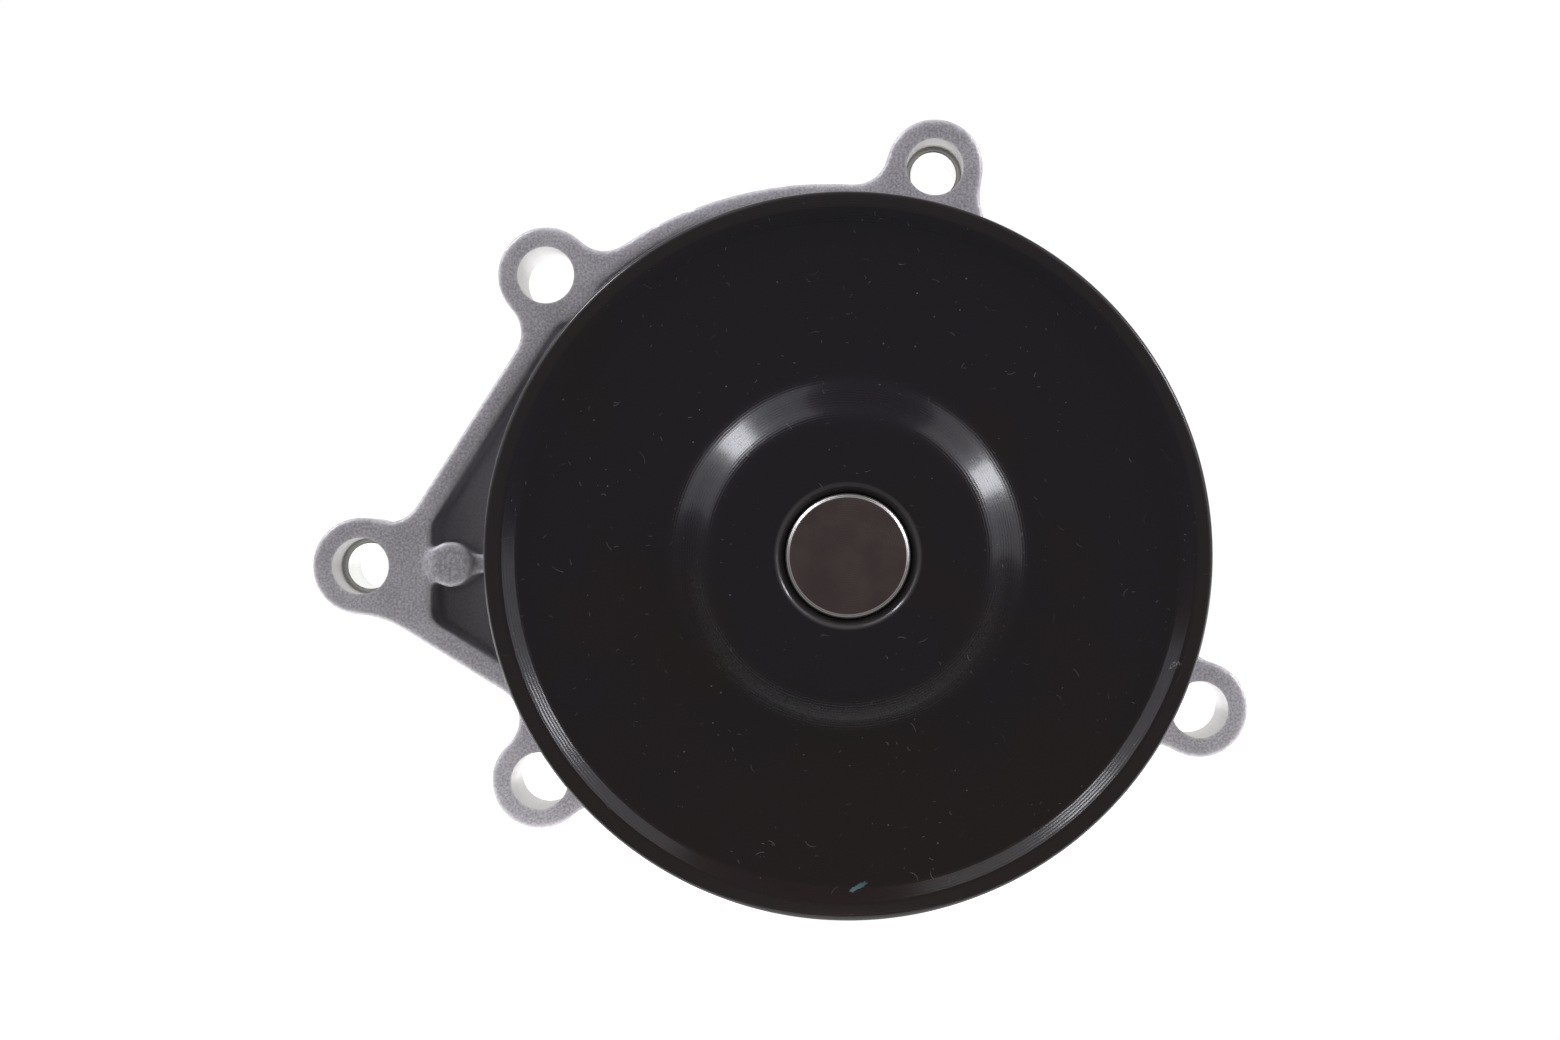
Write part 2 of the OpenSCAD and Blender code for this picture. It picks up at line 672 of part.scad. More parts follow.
// The spindle, with the ball groove, a chamfered front end and a thinner tail for seal and impeller.
module pump_shaft() color("#5b5650") place() difference() {
    rotate_extrude() polygon([
        [0, -tail_length], [tail_radius - tail_edge, -tail_length], [tail_radius, tail_edge - tail_length],
        [tail_radius, tail_start], [shaft_radius - shaft_edge, tail_start],
        [shaft_radius, tail_start + shaft_edge], [shaft_radius, shaft_end - shaft_edge],
        [shaft_radius - shaft_edge, shaft_end], [0, shaft_end]
    ]);
    translate([0, 0, ball_row]) rotate_extrude()
        translate([ball_inner + groove_radius, 0]) circle(r = groove_radius);
}

// Half section of the pulley. The web and the boss are one sheet, dished by a smooth step.
module pulley_section() {
    rim = pulley_diameter / 2;
    steps = DISH_STEPS;
    rear_shift = sheet / 2;
    inside = rim - groove_depth - sheet;
    collar_outer = shaft_radius + sheet;
    boss_front = shaft_end;
    front_slope = [for (i = [0 : steps]) [
        boss_foot_radius + (boss_top_radius - boss_foot_radius) * i / steps,
        web_front + (boss_front - web_front) * ease(i / steps)
    ]];
    rear_slope = [for (i = [steps : -1 : 0]) [
        boss_foot_radius - rear_shift + (boss_top_radius - boss_foot_radius) * i / steps,
        web_front - sheet + (boss_front - web_front) * ease(i / steps)
    ]];
    difference() {
        polygon(concat(
            [[rim, pulley_rear], [rim, rim_front - edge], [rim - edge, rim_front]],
            [[rim - rim_face, rim_front], [web_radius, web_front]],
            front_slope,
            [[shaft_radius + mouth_width, boss_front], [shaft_radius, boss_front - mouth_depth]],
            [[shaft_radius, boss_front - collar_length]],
            [[collar_outer, boss_front - collar_length], [collar_outer, boss_front - sheet]],
            rear_slope,
            [[inside, web_front - sheet], [inside, pulley_rear]]
        ));
        belt_grooves(rim);
    }
}

// The V grooves for the belt, centred on the rim.
module belt_grooves(rim) {
    middle = pulley_rear + pulley_width / 2;
    half = rib_count * rib_pitch / 2;
    tip = rim - tip_drop;
    bottom = rim - groove_depth;
    flat = tip_share * rib_pitch / 2;
    translate([tip, middle - half]) square([tip_drop + cut, 2 * half]);
    for (i = [0 : rib_count - 1]) translate([0, middle - half + (i + 0.5) * rib_pitch])
        polygon([
            [tip + overlap, -rib_pitch / 2 + flat], [bottom, -flat], [bottom, flat],
            [tip + overlap, rib_pitch / 2 - flat]
        ]);
}

module pulley() color("#17181c") place() rotate_extrude() pulley_section();

// A rubber disc with a turned-up edge, tight on the shaft.
module water_slinger() color("#2a2a2a") place() union() {
    ring(shaft_radius, shoulder_bore - 2 * slinger_edge, slinger_bottom, slinger_bottom + slinger_disc);
    ring(
        shoulder_bore - 2 * slinger_edge, shoulder_bore - slinger_edge,
        slinger_bottom, slinger_bottom + slinger_thickness
    );
}

// The pressed cup: a floor at the seat, a wall in the bore and a flange on the neck's end.
module seal_case() color("#b9b7b0") place() union() {
    ring(bellows_inner + mating_brim, seal_radius, case_floor, seal_seat);
    ring(case_inner_radius, seal_radius, neck_end - seal_sheet, case_floor);
    ring(seal_radius, neck_radius - case_inset, neck_end - seal_sheet, neck_end);
}

// The rubber bellows: a foot on the case, a thin tube and a seat behind the carbon ring.
module seal_bellows() color("#232324") place() union() {
    ring(bellows_inner, case_inner_radius - part_gap, bellows_bottom, case_floor);
    ring(bellows_inner, bellows_inner + bellows_wall, carbon_back, bellows_bottom);
    ring(bellows_inner + bellows_wall, carrier_inner, carbon_back, carbon_back + bellows_seat);
}

module rear_spring_seat() color("#a8a49a") place()
    ring(
        bellows_inner + bellows_wall + part_gap, case_inner_radius - carbon_gap,
        spring_top, bellows_bottom
    );

// Surface point k of 8 round the wire, at step i of the helix.
function coil_point(i, k, wire, low, rise) =
    let (radius = spring_radius + wire * cos(360 * k / COIL_SIDES))
    [
        radius * cos(360 * i / COIL_STEPS), radius * sin(360 * i / COIL_STEPS),
        low + rise * i + wire * sin(360 * k / COIL_SIDES)
    ];

// A round wire wound on a helix between the two seats.
module seal_spring() {
    steps = spring_turns * COIL_STEPS;
    wire = spring_wire / 2;
    low = spring_bottom + wire + spring_end_gap;
    rise = (spring_top - wire - spring_end_gap - low) / steps;
    points = [for (i = [0 : steps], k = [0 : COIL_SIDES - 1]) coil_point(i, k, wire, low, rise)];
    walls = [for (i = [0 : steps - 1], k = [0 : COIL_SIDES - 1]) [
        i * COIL_SIDES + k, (i + 1) * COIL_SIDES + k,
        (i + 1) * COIL_SIDES + (k + 1) % COIL_SIDES, i * COIL_SIDES + (k + 1) % COIL_SIDES
    ]];
    first = [[for (k = [0 : COIL_SIDES - 1]) k]];
    last = [[for (k = [COIL_SIDES - 1 : -1 : 0]) steps * COIL_SIDES + k]];
    color("#c2c0ba") place() polyhedron(points, concat(walls, first, last));
}

// The drive band that holds the bellows and the carbon ring together.
module face_carrier() color("#b9b7b0") place() union() {
    ring(
        bellows_inner + bellows_wall + part_gap, carrier_outer + carrier_brim,
        carrier_flange - carrier_sheet, carrier_flange
    );
    ring(carrier_inner, carrier_outer, carbon_back - carrier_grip, carrier_flange - carrier_sheet);
}

// The carbon ring, with its narrow raised sealing face.
module carbon_ring() color("#35363a") place() union() {
    ring(carbon_inner, carrier_inner, seal_face + face_rise, carbon_back);
    ring(carbon_inner + face_land, carrier_inner - face_land, seal_face, seal_face + face_rise);
}

module mating_ring() color("#4a4c50") place()
    ring(mating_inner, mating_outer, mating_back, mating_front);

// The rubber boot inside and behind the mating ring.
module mating_ring_boot() color("#232324") place() union() {
    ring(sleeve_radius, mating_inner, mating_back, mating_front - mating_brim);
    ring(sleeve_radius, mating_outer, boot_back, mating_back);
}

// The sleeve on the shaft, with a flange and a turned-up edge round the boot.
module seal_sleeve() color("#b9b7b0") place() union() {
    ring(tail_radius, sleeve_radius, sleeve_back, case_floor - sleeve_front_gap);
    ring(sleeve_radius, mating_outer + cup_wall, sleeve_back, boot_back);
    ring(mating_outer, mating_outer + cup_wall, boot_back, mating_back + cup_grip);
}

// One curved vane, an arc from the hub to the edge of the plate.
module vane() {
    start = [hub_radius - root, 0];
    tip = polar(impeller_radius, -vane_sweep);
    half = norm(tip - start) / 2;
    centre = (start + tip) / 2 - sqrt(pow(vane_curve, 2) - half * half) * left_of(along(tip, start));
    intersection() {
        difference() {
            circle(r = impeller_radius - vane_inset);
            circle(r = hub_radius - root);
        }
        translate(centre) difference() {
            circle(r = vane_curve + vane_thickness / 2);
            circle(r = vane_curve - vane_thickness / 2);
        }
        polygon([
            [0, 0], polar(2 * impeller_radius, vane_lead),
            polar(2 * impeller_radius, -vane_sweep - vane_tail)
        ]);
    }
}

module impeller() color("#2b2c2e") place() difference() {
    union() {
        rod(impeller_radius, plate_rear, plate_front);
        rod(hub_radius, hub_end, plate_rear);
        translate([0, 0, vane_end]) linear_extrude(vane_height + overlap)
            for (i = [0 : vane_count - 1]) rotate([0, 0, i * 360 / vane_count]) vane();
    }
    rod(bush_radius, vane_end - cut, plate_front + cut);
    for (i = [0 : vane_count - 1]) rotate([0, 0, (i + relief_turn) * 360 / vane_count])
        translate([relief_hole_reach, 0, 0]) rod(relief_hole_radius, plate_rear - cut, plate_front + cut);
}

module impeller_bush() color("#b08d57") place()
    ring(tail_radius, bush_radius, hub_end - root, plate_front);

pump_housing();
housing_gasket();
locating_sleeves();
bearing_outer_ring();
bearing_balls();
ball_cage();
bearing_rollers();
roller_cage();
front_bearing_seal();
rear_bearing_seal();
pump_shaft();
pulley();
water_slinger();
seal_case();
seal_bellows();
rear_spring_seat();
seal_spring();
face_carrier();
carbon_ring();
mating_ring();
mating_ring_boot();
seal_sleeve();
impeller();
impeller_bush();
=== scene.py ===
import json
import math

import bmesh
import bpy
from mathutils import Matrix, Vector

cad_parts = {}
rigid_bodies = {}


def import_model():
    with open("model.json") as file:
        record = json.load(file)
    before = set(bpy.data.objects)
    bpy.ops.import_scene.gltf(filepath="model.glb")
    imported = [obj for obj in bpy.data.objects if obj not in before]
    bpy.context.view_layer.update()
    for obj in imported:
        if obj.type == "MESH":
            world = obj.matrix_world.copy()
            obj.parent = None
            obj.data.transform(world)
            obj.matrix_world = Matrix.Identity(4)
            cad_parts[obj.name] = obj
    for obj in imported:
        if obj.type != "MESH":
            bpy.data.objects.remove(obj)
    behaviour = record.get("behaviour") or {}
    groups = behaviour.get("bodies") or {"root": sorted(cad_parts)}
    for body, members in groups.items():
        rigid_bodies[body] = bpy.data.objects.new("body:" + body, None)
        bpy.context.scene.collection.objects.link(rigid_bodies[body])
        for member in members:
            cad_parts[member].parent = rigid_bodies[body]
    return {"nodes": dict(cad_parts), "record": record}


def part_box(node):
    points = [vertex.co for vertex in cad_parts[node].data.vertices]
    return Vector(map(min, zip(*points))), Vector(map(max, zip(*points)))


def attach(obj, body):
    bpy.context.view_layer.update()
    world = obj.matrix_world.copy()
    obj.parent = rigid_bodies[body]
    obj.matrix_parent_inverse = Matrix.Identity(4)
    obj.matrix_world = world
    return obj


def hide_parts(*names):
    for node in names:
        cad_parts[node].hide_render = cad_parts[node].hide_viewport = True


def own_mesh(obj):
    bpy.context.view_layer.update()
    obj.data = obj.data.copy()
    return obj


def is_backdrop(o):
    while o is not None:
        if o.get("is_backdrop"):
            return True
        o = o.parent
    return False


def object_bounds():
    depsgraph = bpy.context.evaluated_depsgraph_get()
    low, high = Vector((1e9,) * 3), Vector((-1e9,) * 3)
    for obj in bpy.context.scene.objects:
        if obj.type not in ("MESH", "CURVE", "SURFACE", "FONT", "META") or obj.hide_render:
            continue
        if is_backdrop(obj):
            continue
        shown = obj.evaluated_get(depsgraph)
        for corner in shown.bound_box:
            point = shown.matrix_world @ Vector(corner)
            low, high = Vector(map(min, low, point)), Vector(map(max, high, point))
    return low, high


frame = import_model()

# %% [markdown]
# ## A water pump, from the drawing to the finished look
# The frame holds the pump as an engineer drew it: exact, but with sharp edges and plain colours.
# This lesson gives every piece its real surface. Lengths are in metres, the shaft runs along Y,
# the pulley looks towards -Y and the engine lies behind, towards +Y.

MM = 0.001
cad_low, cad_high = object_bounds()
record = frame["record"]
BODY = {node: body for body, nodes in record["behaviour"]["bodies"].items() for node in nodes}
SLOT = {part["node"]: part["material_slot"] for part in record["subparts"]}
print("CAD size in mm:", [round((high - low) / MM, 1) for low, high in zip(cad_low, cad_high)])


# %% [markdown]
# ## Shader maths that reads like arithmetic
# A finish is a graph of small nodes. It could be wired box by box in the shader editor, but
# `grain * 0.3 + 0.5` is easier to follow, so `Value` wraps one socket and turns each operator
# into a Math node. Colours go through `mix` instead, because a Math node turns a colour grey.

# %% A socket that can be added, multiplied and compared
class Value:
    """One number, colour or vector that a shader works out at every point."""

    def __init__(self, finish, socket):
        self.finish, self.socket = finish, socket

    def __add__(self, other):
        return self.finish.math("ADD", self, other)

    def __radd__(self, other):
        return self.finish.math("ADD", other, self)

    def __sub__(self, other):
        return self.finish.math("SUBTRACT", self, other)

    def __rsub__(self, other):
        return self.finish.math("SUBTRACT", other, self)

    def __mul__(self, other):
        return self.finish.math("MULTIPLY", self, other)

    def __rmul__(self, other):
        return self.finish.math("MULTIPLY", other, self)

    def __lt__(self, other):
        return self.finish.math("LESS_THAN", self, other)


# %% [markdown]
# Every finish starts from the principled shader. The coordinates are those of the object itself,
# so marks stay on a piece when it turns. Each piece's origin lies on the shaft axis, which makes
# the distance from that axis a ready measure for turned and drawn marks.

# %% The graph of one finish
class Finish:
    """A procedural material and the nodes it is made of."""

    def __init__(self, name):
        self.material = bpy.data.materials.new(name)
        self.material.use_nodes = True
        self.tree = self.material.node_tree
        self.surface = self.tree.nodes["Principled BSDF"]
        self.place = self.node("ShaderNodeTexCoord", output="Object")
        self.x, self.y, self.z = self.parts("ShaderNodeSeparateXYZ", "XYZ", Vector=self.place)
        self.radius = self.math("SQRT", self.x * self.x + self.z * self.z)

    def put(self, socket, value):
        """Links a Value to a socket, or writes a plain number or colour into it."""
        if isinstance(value, Value):
            self.tree.links.new(value.socket, socket)
        else:
            socket.default_value = value

    def node(self, kind, settings=(), output=0, **inputs):
        """A node of any kind: settings first, since they decide which sockets it has."""
        node = self.tree.nodes.new(kind)
        for key, value in dict(settings).items():
            setattr(node, key, value)
        for key, value in inputs.items():
            self.put(node.inputs[key.replace("_", " ")], value)
        return Value(self, node.outputs[output])

    def parts(self, kind, names, settings=(), **inputs):
        """Several named outputs of one node."""
        outputs = self.node(kind, settings, names[0], **inputs).socket.node.outputs
        return [Value(self, outputs[name]) for name in names]

    def math(self, operation, *terms):
        node = self.tree.nodes.new("ShaderNodeMath")
        node.operation = operation
        for socket, term in zip(node.inputs, terms):
            self.put(socket, term)
        return Value(self, node.outputs[0])

    def mix(self, factor, first, second):
        """The first colour where factor is 0, the second where it is 1."""
        node = self.tree.nodes.new("ShaderNodeMix")
        node.data_type = "RGBA"
        colour = [socket for socket in node.inputs if socket.type == "RGBA"]
        self.put(node.inputs["Factor"], factor)
        self.put(colour[0], first if isinstance(first, Value) else (*first, 1))
        self.put(colour[1], second if isinstance(second, Value) else (*second, 1))
        return Value(self, [socket for socket in node.outputs if socket.type == "RGBA"][0])

    def ramp(self, value, start, end):
        """0 below start, 1 above end, and smooth between."""
        settings = {"interpolation_type": "SMOOTHSTEP"}
        inputs = {"From_Min": start, "From_Max": end}
        return self.node("ShaderNodeMapRange", settings, Value=value, **inputs)

    def grain(self, size, detail=2.0):
        """Noise between 0 and 1 whose features are about `size` metres across."""
        return self.node("ShaderNodeTexNoise", Vector=self.place, Scale=1 / size, Detail=detail)

    def rings(self, pitch, waver):
        """Fine rings round the shaft axis, from -1 to 1, that waver by a share of their pitch."""
        wander = self.grain(2 * MM) * waver * pitch
        return self.math("SINE", (self.radius + wander) * (math.tau / pitch))

    def specks(self, spacing, size):
        """1 inside small scattered specks and 0 elsewhere."""
        cells = self.node("ShaderNodeTexVoronoi", Vector=self.place, Scale=1 / spacing)
        return cells < size / spacing

    def turned(self, x, z, angle):
        """Distances along and across a direction on the face, from the point (x, z)."""
        side, up = self.x - x, self.z - z
        cos, sin = self.math("COSINE", angle), self.math("SINE", angle)
        return side * cos + up * sin, up * cos - side * sin

    def hairs(self, spacing, length, width):
        """1 along short curved hairs, one in each cell of the face, and 0 elsewhere."""
        flat = self.node("ShaderNodeCombineXYZ", X=self.x, Y=self.z)
        settings = {"voronoi_dimensions": "2D"}
        centre, chance = self.parts(
            "ShaderNodeTexVoronoi", ("Position", "Color"), settings, Vector=flat, Scale=1 / spacing
        )
        x, z = self.parts("ShaderNodeSeparateXYZ", "XY", Vector=centre)
        turn, bend, reach = self.parts("ShaderNodeSeparateColor", ("Red", "Green", "Blue"), Color=chance)
        along, across = self.turned(x, z, turn * math.tau)
        most_bend = 2.4
        bow = along * along * (bend - 0.5) * (most_bend / length)
        off = self.math("ABSOLUTE", across - bow)
        inside = self.math("ABSOLUTE", along) < reach * reach * (length / 2)
        return self.ramp(off, 0.7 * width, 0.3 * width) * inside

    def patch(self, x, z, angle, length, width):
        """1 inside a small slanted spot with ragged edges, and 0 elsewhere."""
        along, across = self.turned(x, z, math.radians(angle))
        far, wide = along * (2 / length), across * (2 / width)
        ragged = (self.grain(0.4 * MM, 2.0) - 0.5) * 1.6
        distance = self.math("SQRT", far * far + wide * wide)
        return self.ramp(distance + ragged, 1.05, 0.85)

    def bump(self, height, depth, strength, under=None):
        """A bumped normal: height 0 to 1 stands for `depth` metres."""
        inputs = {"Height": height, "Distance": depth, "Strength": strength}
        if under is not None:
            inputs["Normal"] = under
        return self.node("ShaderNodeBump", **inputs)

    def set(self, **inputs):
        """Sets the principled shader's own sockets."""
        for key, value in inputs.items():
            if isinstance(value, tuple):
                value = (*value, 1)
            self.put(self.surface.inputs[key.replace("_", " ")], value)
        return self.material


# %% [markdown]
# ## The casting
# The body is die-cast aluminium, blasted with fine shot: a dull, slightly violet grey with a grain
# of a third of a millimetre. A picture of a casting could be wrapped round it, but a graph of
# noise needs no image and has no seams. `Pointiness` is high on convex edges and low in corners:
# the edges are painted brighter, partly as wear from handling and partly as a painted highlight,
# and the corners darker, as painted shade. From the depth of the pockets back to the mounting
# face the skin is painted paler, as painted light in the pockets.

# %% Blasted aluminium
alloy = Finish("blasted_alloy")
fine = alloy.grain(0.32 * MM, 4.0)
blotch = alloy.grain(5 * MM, 3.0)
point = alloy.node("ShaderNodeNewGeometry", output="Pointiness")
# edges are painted brighter as wear and as a painted highlight; corners darker as painted shade
edge = alloy.ramp(point, 0.50, 0.56)
corner = alloy.ramp(point, 0.50, 0.44)
DARK_GREY, PALE_GREY = (0.330, 0.308, 0.333), (0.595, 0.566, 0.605)
WORN_AND_HIGHLIT_EDGE, PAINTED_CORNER_SHADE = (0.84, 0.82, 0.83), (0.26, 0.245, 0.26)
POCKET_PAINTED_LIGHT, BARE_ALLOY = (0.80, 0.77, 0.82), (0.93, 0.92, 0.92)
speckled = alloy.ramp(fine + (blotch - 0.5) * 0.3, 0.30, 0.70)
worn_and_highlit = alloy.mix(edge * 0.6, alloy.mix(speckled, DARK_GREY, PALE_GREY), WORN_AND_HIGHLIT_EDGE)
shaded = alloy.mix(corner * 0.35, worn_and_highlit, PAINTED_CORNER_SHADE)
POCKET_TOP, POCKET_DEPTH = -13 * MM, -9 * MM
# painted light: the skin is painted paler from the pockets' depth back to the mounting face
pocket_light = alloy.ramp(alloy.y, POCKET_TOP, POCKET_DEPTH)
skin_grey = alloy.mix(pocket_light * 0.5, shaded, POCKET_PAINTED_LIGHT)

# %% [markdown]
# Two small nicks on the front edge show bare metal. Each is a slanted spot with ragged edges.
# They are masked by depth, because a spot on the face would also run down the side wall.

# %% Nicks, and the finished alloy
NICKS = [(-21.4, 47.2, 20, 1.5, 0.9), (-26.0, 45.0, 30, 1.0, 0.7)]
nick = sum(
    alloy.patch(x * MM, z * MM, angle, length * MM, width * MM) for x, z, angle, length, width in NICKS
)
nick *= alloy.ramp(alloy.y, -14.4 * MM, -15.2 * MM)
alloy.set(
    Base_Color=alloy.mix(nick, skin_grey, BARE_ALLOY),
    Metallic=0.2,
    Roughness=0.56 - edge * 0.18 + (fine - 0.5) * 0.2,
    Normal=alloy.bump(fine, 0.05 * MM, 0.8, alloy.bump(blotch, 0.12 * MM, 0.5)),
)
print("nicks on the casting:", len(NICKS))

# %% [markdown]
# Where a cutter has been, the skin is gone: bores and the mounting face are bright metal. A drill
# leaves feed marks round a bore and a face mill leaves wide arcs across a face. Both could be cut
# into the mesh, but at five thousandths of a millimetre a bump does as well.

# %% Machined aluminium
DRILL_FEED, MILL_FEED, MILL_REACH = 0.22 * MM, 0.7 * MM, 90 * MM


def machined(name, dark, light, roughness):
    """Cut metal: feed marks along Y, arcs of a face mill, and cloudy colour."""
    metal = Finish(name)
    shaken = metal.y + metal.grain(3 * MM) * 0.1 * MM
    feed = metal.math("SINE", shaken * (math.tau / DRILL_FEED))
    up = metal.z + MILL_REACH
    bow = metal.math("SQRT", metal.x * metal.x + up * up)
    sweep = metal.math("SINE", bow * (math.tau / MILL_FEED))
    dull = metal.grain(4 * MM, 3.0)
    stain = metal.grain(14 * MM, 3.0)
    metal.set(
        Base_Color=metal.mix(dull * 0.6 + stain * 0.4 + sweep * 0.05, dark, light),
        Metallic=0.75,
        Roughness=roughness + dull * 0.16,
        Normal=metal.bump(feed + sweep, 0.005 * MM, 0.6),
    )
    return metal.material


bored = machined("bored_alloy", (0.56, 0.54, 0.53), (0.76, 0.735, 0.72), 0.30)
faced = machined("faced_alloy", (0.30, 0.295, 0.30), (0.50, 0.49, 0.49), 0.34)
print("casting finishes made:", alloy.material.name, bored.name, faced.name)

# %% [markdown]
# ## The black pulley
# The pulley is pressed sheet steel, dipped in a glossy black. Its black is not one colour: it is
# cool above and a little brown below. The press leaves fine rings, and handling leaves dust, short
# curved hairs, a scuff and a fleck of paint. A plain dark colour would look like plastic.

# %% The coat's colour
black = Finish("black_coat")
COOL_BLACK, WARM_BLACK = (0.0078, 0.0046, 0.0092), (0.0118, 0.0046, 0.0042)
WARMTH_HEIGHT = 160 * MM
cloud = black.grain(22 * MM, 2.0)
warmth = black.ramp(cloud - black.z * (1 / WARMTH_HEIGHT), 0.36, 0.78)
tinted = black.mix(warmth, COOL_BLACK, WARM_BLACK)

# %% [markdown]
# Dust and hairs are scattered by cells, one mark to a cell, and kept to some areas by a slow
# noise. Painting them by hand would give the same look, but not from a formula.

# %% Dust, hairs, a scuff and a fleck
PALE_DUST, PAINT_FLECK = (0.36, 0.35, 0.34), (0.075, 0.135, 0.160)
dust = black.specks(2.4 * MM, 0.10 * MM) * black.ramp(black.grain(9 * MM), 0.46, 0.62)
hair = black.hairs(4.6 * MM, 1.7 * MM, 0.09 * MM) + black.hairs(2.7 * MM, 0.6 * MM, 0.10 * MM)
hair *= black.ramp(black.grain(7 * MM), 0.44, 0.66)
scuff = black.patch(41.7 * MM, -13.9 * MM, 20, 1.6 * MM, 0.8 * MM)
scuff *= black.ramp(black.grain(0.25 * MM), 0.5, 0.6)
fleck = black.patch(1.3 * MM, -42.3 * MM, 28, 2.7 * MM, 0.6 * MM)
dusty = black.mix(dust * 0.4 + hair * 0.26 + scuff * 0.5, tinted, PALE_DUST)

# %% [markdown]
# The flat of the rim is duller than the web. The coat in the mouth round the spindle is painted
# lighter, as painted light in that deep recess. Both are rings, so the distance from the shaft
# axis is all that the masks need.

# %% The finished black coat
RIM_BLACK, MOUTH_PAINTED_LIGHT = (0.0200, 0.0135, 0.0130), (0.060, 0.052, 0.055)
rim_flat = black.ramp(black.radius, 44.2 * MM, 44.8 * MM)
# inside the mouth the coat is painted lighter, as painted light in the recess round the spindle
mouth = black.ramp(black.radius, 9.5 * MM, 9.1 * MM)
slope = black.ramp(black.radius, 15.8 * MM, 17.2 * MM) * black.ramp(black.radius, 25.5 * MM, 23.0 * MM)
orange_peel = black.grain(0.9 * MM, 2.0)
drawn = black.rings(0.34 * MM, 0.6)
ringed = black.mix(mouth, black.mix(rim_flat * 0.7, dusty, RIM_BLACK), MOUTH_PAINTED_LIGHT)
black.set(
    Base_Color=black.mix(fleck, ringed, PAINT_FLECK),
    Roughness=0.17 + orange_peel * 0.07 + slope * 0.06 + rim_flat * 0.10 + dust * 0.4 + fleck * 0.3,
    Specular_IOR_Level=0.3,
    Coat_Weight=0.3,
    Coat_Roughness=0.15,
    Normal=black.bump(drawn, 0.009 * MM, 0.9, black.bump(orange_peel, 0.02 * MM, 0.35)),
)
print("black coat with", len(black.tree.nodes), "shader nodes")

# %% [markdown]
# ## Steel, from the dark spindle to the bright wire
# All these metals could have a finish of their own, but they differ only in colour, in how rough
# they are and in which way the tool went. So `turned_metal` writes the recipe once: rings on end
# faces, feed marks along cylinders, and a soft stain. The spindle's front bevel is ground bright.

# %% One recipe for turned metals
BEVEL_COLOUR = (0.72, 0.69, 0.68)
BEVEL_RADIUS, BEVEL_DEPTH = (7.35 * MM, 7.5 * MM), (-45.6 * MM, -45.9 * MM)


def turned_metal(name, dark, light, roughness, mark, pitch=0.2 * MM, bright_edge=False):
    """A metal with turned rings, feed marks and stains, and perhaps a bright front bevel."""
    metal = Finish(name)
    stain = metal.grain(5 * MM, 3.0)
    rings = metal.rings(pitch, 0.4)
    feed = metal.math("SINE", metal.y * (math.tau / pitch))
    colour = metal.mix(metal.ramp(stain, 0.3, 0.7), dark, light)
    if bright_edge:
        bevel = metal.ramp(metal.radius, *BEVEL_RADIUS) * metal.ramp(metal.y, *BEVEL_DEPTH)
        colour = metal.mix(bevel, colour, BEVEL_COLOUR)
    skin = metal.bump(metal.grain(0.25 * MM), mark + 0.001 * MM, 0.6)
    metal.set(
        Base_Color=colour,
        Metallic=1.0,
        Roughness=roughness + (stain - 0.5) * 0.16 + rings * 0.02,
        Normal=metal.bump(rings + feed, mark, 0.8, skin),
    )
    return metal.material


# %% [markdown]
# Each metal is one line: the finish's name, its darker and lighter colour, its roughness and the
# depth of its tool marks in millimetres.

# %% The metals
METALS = {
    "sleeve_steel": ("drawn_tube", (0.78, 0.78, 0.75), (0.88, 0.88, 0.86), 0.24, 0.001),
    "bearing_steel": ("ground_steel", (0.50, 0.50, 0.51), (0.68, 0.68, 0.69), 0.20, 0.001),
    "seal_metal": ("pressed_sheet", (0.52, 0.50, 0.46), (0.70, 0.68, 0.63), 0.30, 0.002),
    "spring_steel": ("drawn_wire", (0.42, 0.42, 0.41), (0.60, 0.60, 0.58), 0.28, 0.001),
    "bush_brass": ("turned_brass", (0.55, 0.38, 0.15), (0.74, 0.55, 0.27), 0.28, 0.004),
}
STEELS = {
    slot: turned_metal(name, dark, light, roughness, mark * MM)
    for slot, (name, dark, light, roughness, mark) in METALS.items()
}
STEELS["shaft_steel"] = turned_metal(
    "dark_spindle", (0.120, 0.090, 0.088), (0.150, 0.113, 0.110), 0.34, 0.012 * MM,
    pitch=0.3 * MM, bright_edge=True,
)
print("metal finishes:", len(STEELS))


# %% [markdown]
# ## Rubber, plastic, carbon and ceramic
# These have no metal shine, so their grain and their dull spots do the work. A moulded part shows
# a fine eroded texture, a lapped face shows almost none. One recipe serves them all as well.

# %% One recipe for dull materials
def moulded(name, dark, light, roughness, grain_size, depth):
    """A non-metal with a moulded grain, cloudy colour and uneven gloss."""
    skin = Finish(name)
    grain = skin.grain(grain_size, 4.0)
    cloud = skin.grain(7 * MM, 3.0)
    pale = skin.ramp(cloud + (grain - 0.5) * 0.5, 0.3, 0.75)
    skin.set(
        Base_Color=skin.mix(pale, dark, light),
        Roughness=roughness + (cloud - 0.5) * 0.18 + (grain - 0.5) * 0.1,
        Normal=skin.bump(grain, depth, 0.8),
    )
    return skin.material


# %% [markdown]
# Again one line each: name, darker and lighter colour, roughness, then the size and the depth of
# the grain in millimetres.

